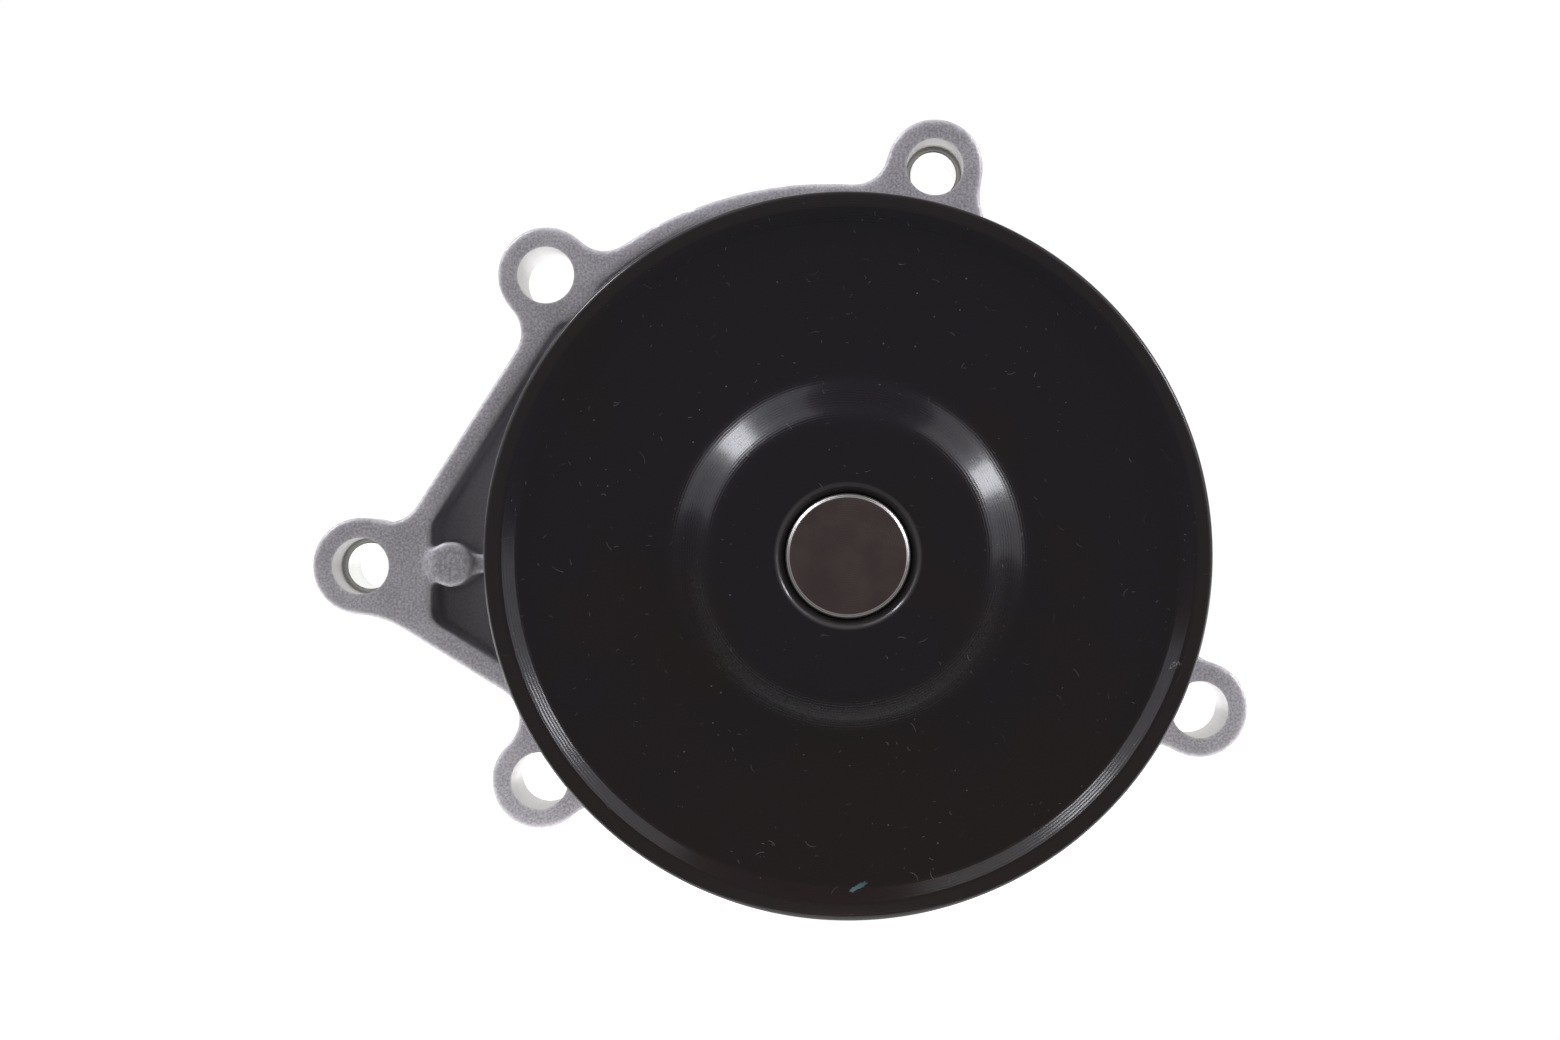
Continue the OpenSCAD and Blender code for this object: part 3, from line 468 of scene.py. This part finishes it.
# %% The dull materials
MOULDED = {
    "gasket_rubber": ("gasket_rubber", (0.012, 0.012, 0.013), (0.035, 0.035, 0.036), 0.55, 0.22, 0.03),
    "seal_rubber": ("seal_rubber", (0.011, 0.011, 0.012), (0.028, 0.027, 0.027), 0.48, 0.18, 0.02),
    "cage_plastic": ("cage_plastic", (0.055, 0.10, 0.05), (0.10, 0.16, 0.08), 0.42, 0.3, 0.02),
    "carbon": ("lapped_carbon", (0.022, 0.022, 0.025), (0.05, 0.05, 0.054), 0.38, 0.12, 0.008),
    "hard_ceramic": ("lapped_ceramic", (0.05, 0.05, 0.055), (0.085, 0.085, 0.09), 0.16, 0.2, 0.003),
    "impeller_plastic": (
        "glass_filled_plastic", (0.018, 0.018, 0.02), (0.05, 0.049, 0.05), 0.46, 0.35, 0.035
    ),
}
DULL = {
    slot: moulded(name, dark, light, roughness, size * MM, depth * MM)
    for slot, (name, dark, light, roughness, size, depth) in MOULDED.items()
}
FINISH = {"cast_alloy": alloy.material, "black_coat": black.material, **STEELS, **DULL}
missing = set(SLOT.values()) - set(FINISH)
print("finishes:", len(FINISH), "slots without one:", sorted(missing))


# %% [markdown]
# ## Turned pieces
# Most of the pump is round. The drawing's mesh of a turned piece already holds its half section:
# every corner of the section is a circle of points at one radius and one depth. `section` reads
# that outline back, `rounded` breaks its sharp corners, and `lathe` spins it finely. A bevel
# modifier on the drawn mesh would be shorter, but it tears the thin, long faces of such a mesh.

# %% Reading the half section of a turned node
def section(node, step=3e-6):
    """The outline of a turned node as a chain of (radius, y) corners, in metres."""
    mesh = frame["nodes"][node].data
    key_of = [
        (round(math.hypot(v.co.x, v.co.z) / step), round(v.co.y / step)) for v in mesh.vertices
    ]
    ways = {}
    for edge in mesh.edges:
        a, b = (key_of[index] for index in edge.vertices)
        if a != b:
            ways.setdefault(a, set()).add(b)
            ways.setdefault(b, set()).add(a)
    ends = [key for key, near in ways.items() if len(near) == 1]
    chain = [(ends or [min(ways)])[0]]
    while len(chain) < len(ways):
        onward = ways[chain[-1]].difference(chain)
        if not onward:
            raise ValueError(f"{node} is not a plain turned piece")
        chain.append(min(onward, key=lambda key: math.dist(key, chain[-1])))
    corners = [(radius * step, y * step) for radius, y in chain]
    if ends:
        corners = [(0.0, corners[0][1]), *corners, (0.0, corners[-1][1])]
    return corners


# %% [markdown]
# No turned edge is perfectly sharp: a tool or a file breaks it, and that thin curve is what
# catches the light. A curve with the corner as its handle meets both sides without a kink.

# %% Breaking the sharp corners of an outline
TINY, MOST_OF_A_SIDE = 1e-7, 0.42


def rounded(corners, radius, steps=4, closed=True, least=math.radians(18)):
    """Each corner sharper than `least` becomes a short curve that starts `radius` before it."""
    count = len(corners)
    outline = []
    for index, (x, y) in enumerate(corners):
        corner = Vector((x, y))
        before, after = Vector(corners[index - 1]), Vector(corners[(index + 1) % count])
        ends = not closed and index in (0, count - 1)
        into, out = corner - before, after - corner
        if ends or min(into.length, out.length) < TINY or into.angle(out) < least:
            outline.append((x, y))
            continue
        reach = min(radius, MOST_OF_A_SIDE * min(into.length, out.length))
        start, end = corner - into.normalized() * reach, corner + out.normalized() * reach
        for k in range(steps + 1):
            t = k / steps
            point = start * (1 - t) ** 2 + corner * 2 * t * (1 - t) + end * t**2
            outline.append((point.x, point.y))
    return outline


# %% [markdown]
# Blender's Screw modifier could spin the outline. Building the rings of points here keeps the seam
# closed and gives a single point, not a ring of them, where the outline meets the axis.

# %% Spinning an outline round the shaft axis
def lathe(name, outline, closed=True, sides=240, sharp=math.radians(38)):
    """A mesh object turned from (radius, y) points about the Y axis."""
    area = sum(a[0] * b[1] - b[0] * a[1] for a, b in zip(outline, outline[1:] + outline[:1]))
    if area > 0:
        outline = outline[::-1]
    mesh = bpy.data.meshes.new(name)
    build = bmesh.new()
    turns = [(math.cos(math.tau * k / sides), math.sin(math.tau * k / sides)) for k in range(sides)]
    loops = []
    for radius, y in outline:
        if radius < TINY:
            loops.append([build.verts.new((0, y, 0))] * sides)
        else:
            loops.append([build.verts.new((radius * c, y, radius * s)) for c, s in turns])
    pairs = list(zip(loops, loops[1:] + loops[:1])) if closed else list(zip(loops, loops[1:]))
    for low, high in pairs:
        for k in range(sides):
            n = (k + 1) % sides
            corner = [low[k], low[n], high[n], high[k]]
            ring = [v for i, v in enumerate(corner) if v not in corner[:i]]
            if len(ring) > 2:
                build.faces.new(ring)
    build.to_mesh(mesh)
    build.free()
    mesh.shade_smooth()
    mesh.set_sharp_from_angle(angle=sharp)
    piece = bpy.data.objects.new(name, mesh)
    bpy.context.scene.collection.objects.link(piece)
    return piece


# %% [markdown]
# A finished piece takes the place of its drawn node: it rides on the same body and gets the
# finish of that node's slot, and the node is hidden.

# %% Putting a piece in its node's place
def stand_in(piece, node):
    """Gives the piece the node's body and the finish of its slot, and hides the node."""
    if not piece.data.materials:
        piece.data.materials.append(FINISH[SLOT[node]])
    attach(piece, BODY[node])
    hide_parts(node)
    return piece


# %% [markdown]
# The number beside each node says how far its corners are broken, in millimetres: least on the
# lapped seal faces, most on the rubber bellows and the pressed pulley.

# %% All turned pieces
TURNED = {
    "bearing_outer_ring": 0.30, "front_bearing_seal": 0.20, "rear_bearing_seal": 0.20,
    "water_slinger": 0.30, "seal_case": 0.25, "seal_bellows": 0.45, "rear_spring_seat": 0.15,
    "face_carrier": 0.20, "carbon_ring": 0.12, "mating_ring": 0.15, "mating_ring_boot": 0.25,
    "seal_sleeve": 0.22, "impeller_bush": 0.30, "pump_shaft": 0.22, "pulley": 0.45,
}
for node, break_mm in TURNED.items():
    try:
        corners = section(node)
    except ValueError as problem:
        print("kept as drawn:", problem)
        continue
    is_ring = corners[0][0] > 0
    outline = rounded(corners, break_mm * MM, closed=is_ring)
    piece = stand_in(lathe(node + "_turned", outline, closed=is_ring), node)
    print(node, "turned from", len(corners), "corners,", len(piece.data.polygons), "faces")

# %% [markdown]
# ## Cast and moulded pieces
# A casting has no sharp corners: metal shrinks, sand or steel dies need a draft, and blasting
# rounds the rest. Bevels would have to meet at every rib and pocket, so the drawn solid is
# rebuilt instead, as an even skin of small squares that is relaxed a few times. Bores are
# plugged first, so that they can be cut afterwards with crisp edges, as a machine shop would.

# %% Plugs and cutters
def cylinder(name, radius, y0, y1, at=(0.0, 0.0), sides=96, material=None):
    """A closed cylinder along Y between two depths, centred on (x, z)."""
    mesh = bpy.data.meshes.new(name)
    build = bmesh.new()
    bmesh.ops.create_cone(
        build, cap_ends=True, segments=sides, radius1=radius, radius2=radius, depth=abs(y1 - y0)
    )
    middle = Matrix.Translation((at[0], (y0 + y1) / 2, at[1]))
    along_shaft = Matrix.Rotation(math.radians(90), 4, "X")
    bmesh.ops.transform(build, matrix=middle @ along_shaft, verts=build.verts)
    build.to_mesh(mesh)
    build.free()
    if material:
        mesh.materials.append(material)
    tool = bpy.data.objects.new(name, mesh)
    bpy.context.scene.collection.objects.link(tool)
    return tool


def join(first, *others):
    """Puts the others' faces into the first mesh object and removes them."""
    build = bmesh.new()
    for tool in (first, *others):
        build.from_mesh(tool.data)
    build.to_mesh(first.data)
    build.free()
    for tool in others:
        bpy.data.objects.remove(tool)
    return first


def settle(piece):
    """Replaces the piece's mesh by what its modifiers make of it."""
    graph = bpy.context.evaluated_depsgraph_get()
    made = bpy.data.meshes.new_from_object(piece.evaluated_get(graph))
    piece.modifiers.clear()
    piece.data = made
    return piece


# %% [markdown]
# `cast` makes the soft skin and `cut` takes the tools from it. The boolean's material mode lets
# every cut face take the finish of its tool, so a bore is bright without any painted mask.

# %% Skin and relax, then cut
def cast(node, name, voxel, passes, plugs=(), grow=None):
    """The node's solid with its bores plugged, as one even skin with soft edges."""
    build = bmesh.new()
    build.from_mesh(frame["nodes"][node].data)
    bmesh.ops.remove_doubles(build, verts=build.verts, dist=1e-7)
    if grow:
        for vertex in build.verts:
            vertex.co.y += grow(vertex.co)
    mesh = bpy.data.meshes.new(name)
    build.to_mesh(mesh)
    build.free()
    piece = bpy.data.objects.new(name, mesh)
    bpy.context.scene.collection.objects.link(piece)
    if plugs:
        join(piece, *plugs)
    skin = piece.modifiers.new("skin", "REMESH")
    skin.mode, skin.voxel_size, skin.use_smooth_shade = "VOXEL", voxel, True
    relax = piece.modifiers.new("relax", "SMOOTH")
    relax.factor, relax.iterations = 0.5, passes
    settle(piece)
    piece.data.materials.clear()
    piece.data.materials.append(FINISH[SLOT[node]])
    return piece


def cut(piece, *tools):
    """Cuts each tool from the piece. The new faces take the tool's finish."""
    for tool in tools:
        bite = piece.modifiers.new(tool.name, "BOOLEAN")
        bite.operation, bite.solver, bite.object = "DIFFERENCE", "MANIFOLD", tool
        bite.material_mode = "TRANSFER"
    settle(piece)
    for tool in tools:
        bpy.data.objects.remove(tool)
    piece.data.set_sharp_from_angle(angle=math.radians(40))
    return piece


# %% [markdown]
# The bores have to fit the bearing, the seal and the dowels, so their sizes are read from the
# frame: from the boxes of those nodes and from the mounts that the record states.

# %% Sizes that the casting shares with the pieces in it
bearing_low, bearing_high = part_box("bearing_outer_ring")
seal_low, seal_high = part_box("seal_case")
sleeves_low, sleeves_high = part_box("locating_sleeves")
bearing_radius = bearing_high.x
shoulder_radius = bearing_radius - 2.5 * MM
neck_radius = seal_high.x + 0.8 * MM
neck_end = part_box("pump_housing")[1].y
bolt_mounts = [mount for mount in record["mounts"] if mount["name"].endswith("bolt_hole")]
BOLT_HOLES = {mount["name"]: (mount["pos_m"][0], mount["pos_m"][2]) for mount in bolt_mounts}
DOWEL_HOLES = [BOLT_HOLES[name] for name in ("left_bolt_hole", "top_bolt_hole")]
hole_radius = max(mount["dims"]["r_mm"] for mount in bolt_mounts) * MM
dowel_bore = min(mount["dims"]["r_mm"] for mount in bolt_mounts) * MM
dowel_radius = max(mount["dims"]["r_mm"] for mount in record["mounts"] if mount["kind"] == "pin") * MM
dowel_seat = dowel_radius + 0.25 * MM
lug_height = max(mount["dims"]["length_mm"] for mount in bolt_mounts) * MM
print("bolt holes:", len(BOLT_HOLES), "of radius", round(hole_radius / MM, 2), "mm")

# %% [markdown]
# The casting is made with a little spare metal on its mounting face and on the neck's end.
# The cutters then take that off and open the bores, so the soft skin meets a crisp machined edge.

# %% The raw casting
SPARE, HAIR = 0.6 * MM, 0.01 * MM


def spare_metal(point):
    """How much further out the unmachined casting stands at this point of the drawing."""
    on_face = abs(point.y) < HAIR and math.hypot(point.x, point.z) > neck_radius
    return SPARE if on_face or point.y > neck_end - HAIR else 0.0


plugs = [
    cylinder("plug", hole_radius + 0.3 * MM, -lug_height, SPARE, at) for at in BOLT_HOLES.values()
]
plugs.append(cylinder("plug", bearing_radius + 0.1 * MM, bearing_low.y + 1.5 * MM, neck_end + SPARE))
body = cast("pump_housing", "cast_body", 0.42 * MM, 12, plugs, spare_metal)
print("raw casting:", len(body.data.polygons), "faces")

# %% [markdown]
# The work of the machine shop, tool by tool: drills and reamers for the lugs, three boring bars on
# the shaft axis, and a cutter for each face. Every tool runs past the metal. The wide facer has a
# hole in it, where the neck stands through the mounting face.

# %% The machined casting
PAST, ROUND = 5 * MM, 256
tools = [
    cylinder("drill", hole_radius, -lug_height - PAST, PAST, at, material=bored)
    for at in BOLT_HOLES.values()
]
tools += [
    cylinder("reamer", dowel_seat, sleeves_low.y, PAST, at, material=bored) for at in DOWEL_HOLES
]
BARS = {
    "bore_bar": (bearing_radius, bearing_low.y - PAST, bearing_high.y),
    "step_bar": (shoulder_radius, bearing_high.y - MM, seal_low.y + MM),
    "seal_bar": (bearing_radius, seal_low.y, neck_end + PAST),
}
tools += [cylinder(name, *sizes, sides=ROUND, material=bored) for name, sizes in BARS.items()]
facer = cylinder("facer", 90 * MM, 0, 4 * MM, sides=ROUND, material=faced)
cut(facer, cylinder("guard", neck_radius + 4 * MM, -MM, PAST, sides=ROUND))
neck_facer_radius, neck_facer_end = neck_radius + 3 * MM, neck_end + 4 * MM
tools += [
    facer,
    cylinder("neck_facer", neck_facer_radius, neck_end, neck_facer_end, sides=ROUND, material=faced),
]
cut(body, *tools)
stand_in(body, "pump_housing")
print("cast body:", len(body.data.polygons), "faces")

# %% [markdown]
# The impeller, the two cages and the gasket are moulded. Their edges are as soft as a casting's,
# so they get the same treatment with a finer skin.

# %% Moulded pieces
bush_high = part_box("impeller_bush")[1]
impeller_low, impeller_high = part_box("impeller")
bush_plug = cylinder("plug", bush_high.x + 0.1 * MM, impeller_low.y, bush_high.y)
wheel = cast("impeller", "moulded_impeller", 0.32 * MM, 3, [bush_plug])
cut(wheel, cylinder("core", bush_high.x, impeller_low.y - MM, impeller_high.y + MM, sides=192))
stand_in(wheel, "impeller")
stand_in(cast("ball_cage", "moulded_ball_cage", 0.16 * MM, 2), "ball_cage")
stand_in(cast("roller_cage", "moulded_roller_cage", 0.16 * MM, 2), "roller_cage")
stand_in(cast("housing_gasket", "moulded_gasket", 0.24 * MM, 5), "housing_gasket")
print("impeller:", len(wheel.data.polygons), "faces")

# %% [markdown]
# ## Ring dowels and the seal's spring
# A ring dowel is a short drawn tube with a bevelled lead. The drawing holds both dowels in one
# node off the shaft axis, where `section` can't read them, so the tube's outline is given here
# from the frame's sizes, spun and moved to each hole.

# %% Ring dowels
def shifted(piece, at):
    """Moves the points of a turned piece to another axis."""
    piece.data.transform(Matrix.Translation((at[0], 0, at[1])))
    return piece


LEAD, COLLAR = 0.4 * MM, 0.3 * MM
tube = [
    (dowel_bore, sleeves_high.y), (dowel_radius - LEAD, sleeves_high.y),
    (dowel_radius, sleeves_high.y - LEAD), (dowel_radius, COLLAR),
    (dowel_seat, COLLAR), (dowel_seat, sleeves_low.y), (dowel_bore, sleeves_low.y),
]
for name, at in zip(("left", "top"), DOWEL_HOLES):
    sleeve = lathe("ring_dowel_" + name, rounded(tube, 0.25 * MM), sides=120)
    stand_in(shifted(sleeve, at), "locating_sleeves")
print("ring dowels:", len(DOWEL_HOLES), "of", round(2 * dowel_radius / MM, 1), "mm")


# %% [markdown]
# The spring is round wire, wound on a helix between its two seats, with the last quarter turn of
# each end lying flat. A curve with a round bevel could be wound too, but rings of points along the
# helix give plain mesh at once.

# %% Seal spring
def wound_wire(name, wire, coil, y0, y1, turns, steps=72, sides=14):
    """A round wire on a helix, from y0 to y1, with flat ends."""
    build = bmesh.new()
    loops = []
    for i in range(int(turns * steps) + 1):
        turn = i / steps
        share = min(max((turn - 0.25) / (turns - 0.5), 0.0), 1.0)
        y = y0 + wire + (y1 - y0 - 2 * wire) * share
        a = math.tau * turn
        loops.append([
            build.verts.new((
                (coil + wire * math.cos(b)) * math.cos(a), y + wire * math.sin(b),
                (coil + wire * math.cos(b)) * math.sin(a),
            ))
            for b in (math.tau * k / sides for k in range(sides))
        ])
    for low, high in zip(loops, loops[1:]):
        for k in range(sides):
            build.faces.new((low[k], low[(k + 1) % sides], high[(k + 1) % sides], high[k]))
    build.faces.new(loops[0][::-1])
    build.faces.new(loops[-1])
    bmesh.ops.recalc_face_normals(build, faces=build.faces)
    mesh = bpy.data.meshes.new(name)
    build.to_mesh(mesh)
    build.free()
    mesh.shade_smooth()
    mesh.set_sharp_from_angle(angle=math.radians(50))
    piece = bpy.data.objects.new(name, mesh)
    bpy.context.scene.collection.objects.link(piece)
    return piece


spring_low, spring_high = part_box("seal_spring")
WIRE, TURNS = 0.55 * MM, 3
coil_radius = spring_high.x - WIRE
spring = wound_wire("wound_spring", WIRE, coil_radius, spring_low.y, spring_high.y, TURNS)
stand_in(spring, "seal_spring")
print("spring wire of", round(2 * WIRE / MM, 2), "mm on a coil of", round(2 * coil_radius / MM, 1), "mm")

# %% [markdown]
# The carbon ring floats: it slides back a little and its spring and bellows shorten with it. Both
# stay on the housing, so a ride on the ring's body would tear them off their seats. Here the ring's
# travel is read, the share of each one's length that would be left is worked out, and each gets a
# mesh of its own; their points are not moved.

# %% The floating seal face's travel, and the soft parts beside it
slide = next(joint for joint in record["behaviour"]["joints"] if joint["name"] == "seal_face_float")
travel = max(abs(end) for end in slide["range_m"])
for piece, node in ((spring, "seal_spring"), (bpy.data.objects["seal_bellows_turned"], "seal_bellows")):
    low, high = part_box(node)
    keep = 1 - travel / (high.y - low.y)
    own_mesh(piece)
    print(piece.name, "shortens by", round(travel / MM, 2), "mm as the face floats back")

# %% [markdown]
# ## The camera and the light
# The pump is seen square on from the pulley side by a short telephoto lens on the shaft's axis.
# Turning the camera would also put the pump a little right of and below the middle, but then the
# pulley's circle would lean. Shifting the lens moves the picture and leaves the circle round.

# %% Camera
EYE_DISTANCE = 0.456
lens = bpy.data.cameras.new("camera")
lens.lens = 74.7
lens.sensor_width = 36
lens.shift_x = -0.0436
lens.shift_y = 0.0230
lens.clip_start, lens.clip_end = 0.01, 50
camera = bpy.data.objects.new("camera", lens)
camera.location = (0, -EYE_DISTANCE, 0)
camera.rotation_euler = (math.radians(90), 0, 0)
bpy.context.scene.collection.objects.link(camera)
bpy.context.scene.camera = camera
print("camera", EYE_DISTANCE / MM, "mm in front of the mounting face")


# %% [markdown]
# The setting is a white table lit from within, in a room that is dimmer behind the camera. That
# keeps the flat black web dark while the boss's slope catches two soft lights, upper left and
# right. Only what the camera sees directly is painted white all round. Boxes of real paper with
# lamps inside could stand round the pump, but a plain world background is faster and even.

# %% Room
world = bpy.data.worlds.new("room")
bpy.context.scene.world = world
world.use_nodes = True
room = world.node_tree
room.nodes.clear()
direction = room.nodes.new("ShaderNodeTexCoord")
split = room.nodes.new("ShaderNodeSeparateXYZ")
shade = room.nodes.new("ShaderNodeMapRange")
seen = room.nodes.new("ShaderNodeLightPath")
glow, backdrop = room.nodes.new("ShaderNodeBackground"), room.nodes.new("ShaderNodeBackground")
choice, out = room.nodes.new("ShaderNodeMixShader"), room.nodes.new("ShaderNodeOutputWorld")
for limit, level in {"From Min": 0.05, "From Max": 0.9, "To Min": 0.31, "To Max": 1.1}.items():
    shade.inputs[limit].default_value = level
backdrop.inputs["Color"].default_value = (1, 1, 1, 1)
backdrop.inputs["Strength"].default_value = 1.05
room.links.new(direction.outputs["Generated"], split.inputs[0])
room.links.new(split.outputs["Y"], shade.inputs["Value"])
room.links.new(shade.outputs[0], glow.inputs["Color"])
room.links.new(seen.outputs["Is Camera Ray"], choice.inputs[0])
room.links.new(glow.outputs[0], choice.inputs[1])
room.links.new(backdrop.outputs[0], choice.inputs[2])
room.links.new(choice.outputs[0], out.inputs[0])
print("room with", len(room.nodes), "world nodes")


# %% [markdown]
# Each side has a wide diffuser and a small lamp just in front of it. The wide one draws the long
# soft band on the slope, the small one its bright middle. Both lean far to the side, so that the
# flat web mirrors neither of them. Their light is a little cool, as a flash is.

# %% Soft lights
COOL_WHITE = (0.93, 0.94, 1.0)


def softbox(name, turn, lean, distance, size, watts):
    """A flat light that faces the pump: lean is from the shaft's axis, turn is round it."""
    lamp = bpy.data.lights.new(name, "AREA")
    lamp.shape, lamp.size, lamp.size_y, lamp.energy = "RECTANGLE", size[0], size[1], watts
    lamp.color = COOL_WHITE
    light = bpy.data.objects.new(name, lamp)
    a, e = math.radians(turn), math.radians(lean)
    aim = Vector((math.sin(e) * math.cos(a), -math.cos(e), math.sin(e) * math.sin(a)))
    outward = Vector((math.cos(a), 0, math.sin(a)))
    along = (outward - aim * outward.dot(aim)).normalized()
    light.matrix_world = Matrix.Translation(aim * distance) @ Matrix(
        (along, aim.cross(along), aim)
    ).transposed().to_4x4()
    bpy.context.scene.collection.objects.link(light)
    return light


DISTANCE, LEAN = 0.9, 72
for side, turn in (("left", 134), ("right", 29)):
    softbox(side + "_diffuser", turn, LEAN, DISTANCE, (0.62, 1.0), 2.4)
    softbox(side + "_lamp", turn, LEAN + 6, DISTANCE * 0.98, (0.26, 0.17), 3.2)
print("lights:", len(bpy.data.lights))

# %% [markdown]
# A pale surface lies level with the pump's lowest point, from the pulley's front to well behind
# the pump. Lighting it evenly would take more lamps, which the black coat would mirror, so it
# glows a little by itself.

# %% Table
table = bpy.data.meshes.new("table")
TABLE_WIDTH, TABLE_DEPTH = 1.2, 0.7
front, back = cad_low.y, cad_high.y + TABLE_DEPTH
table.from_pydata(
    [(x * TABLE_WIDTH / 2, y, cad_low.z) for x, y in ((-1, front), (1, front), (1, back), (-1, back))],
    [], [(0, 1, 2, 3)],
)
floor = bpy.data.objects.new("table", table)
bpy.context.scene.collection.objects.link(floor)
pale = Finish("pale_table")
pale.set(Base_Color=(0.8, 0.8, 0.8), Roughness=0.6, Emission_Color=(1, 1, 1), Emission_Strength=1.0)
table.materials.append(pale.material)
floor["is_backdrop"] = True

print("table from", round(front / MM, 1), "to", round(back / MM, 1), "mm")

# %% [markdown]
# The usual film-like view would grey the white room and lift the black coat. The plain one shows
# both as they are.

# %% View
bpy.context.scene.view_settings.view_transform = "Standard"
print("view:", bpy.context.scene.view_settings.view_transform)

# %% [markdown]
# ## Last steps
# Nodes that stayed as drawn get their finish here, and the size of the finished model is noted
# beside that of the drawing.

# %% Finishes of the nodes that stay, and the size
for name, node in frame["nodes"].items():
    node.data.materials.clear()
    node.data.materials.append(FINISH[SLOT[name]])
low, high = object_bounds()
print("made size in mm:", [round((b - a) / MM, 1) for a, b in zip(low, high)])
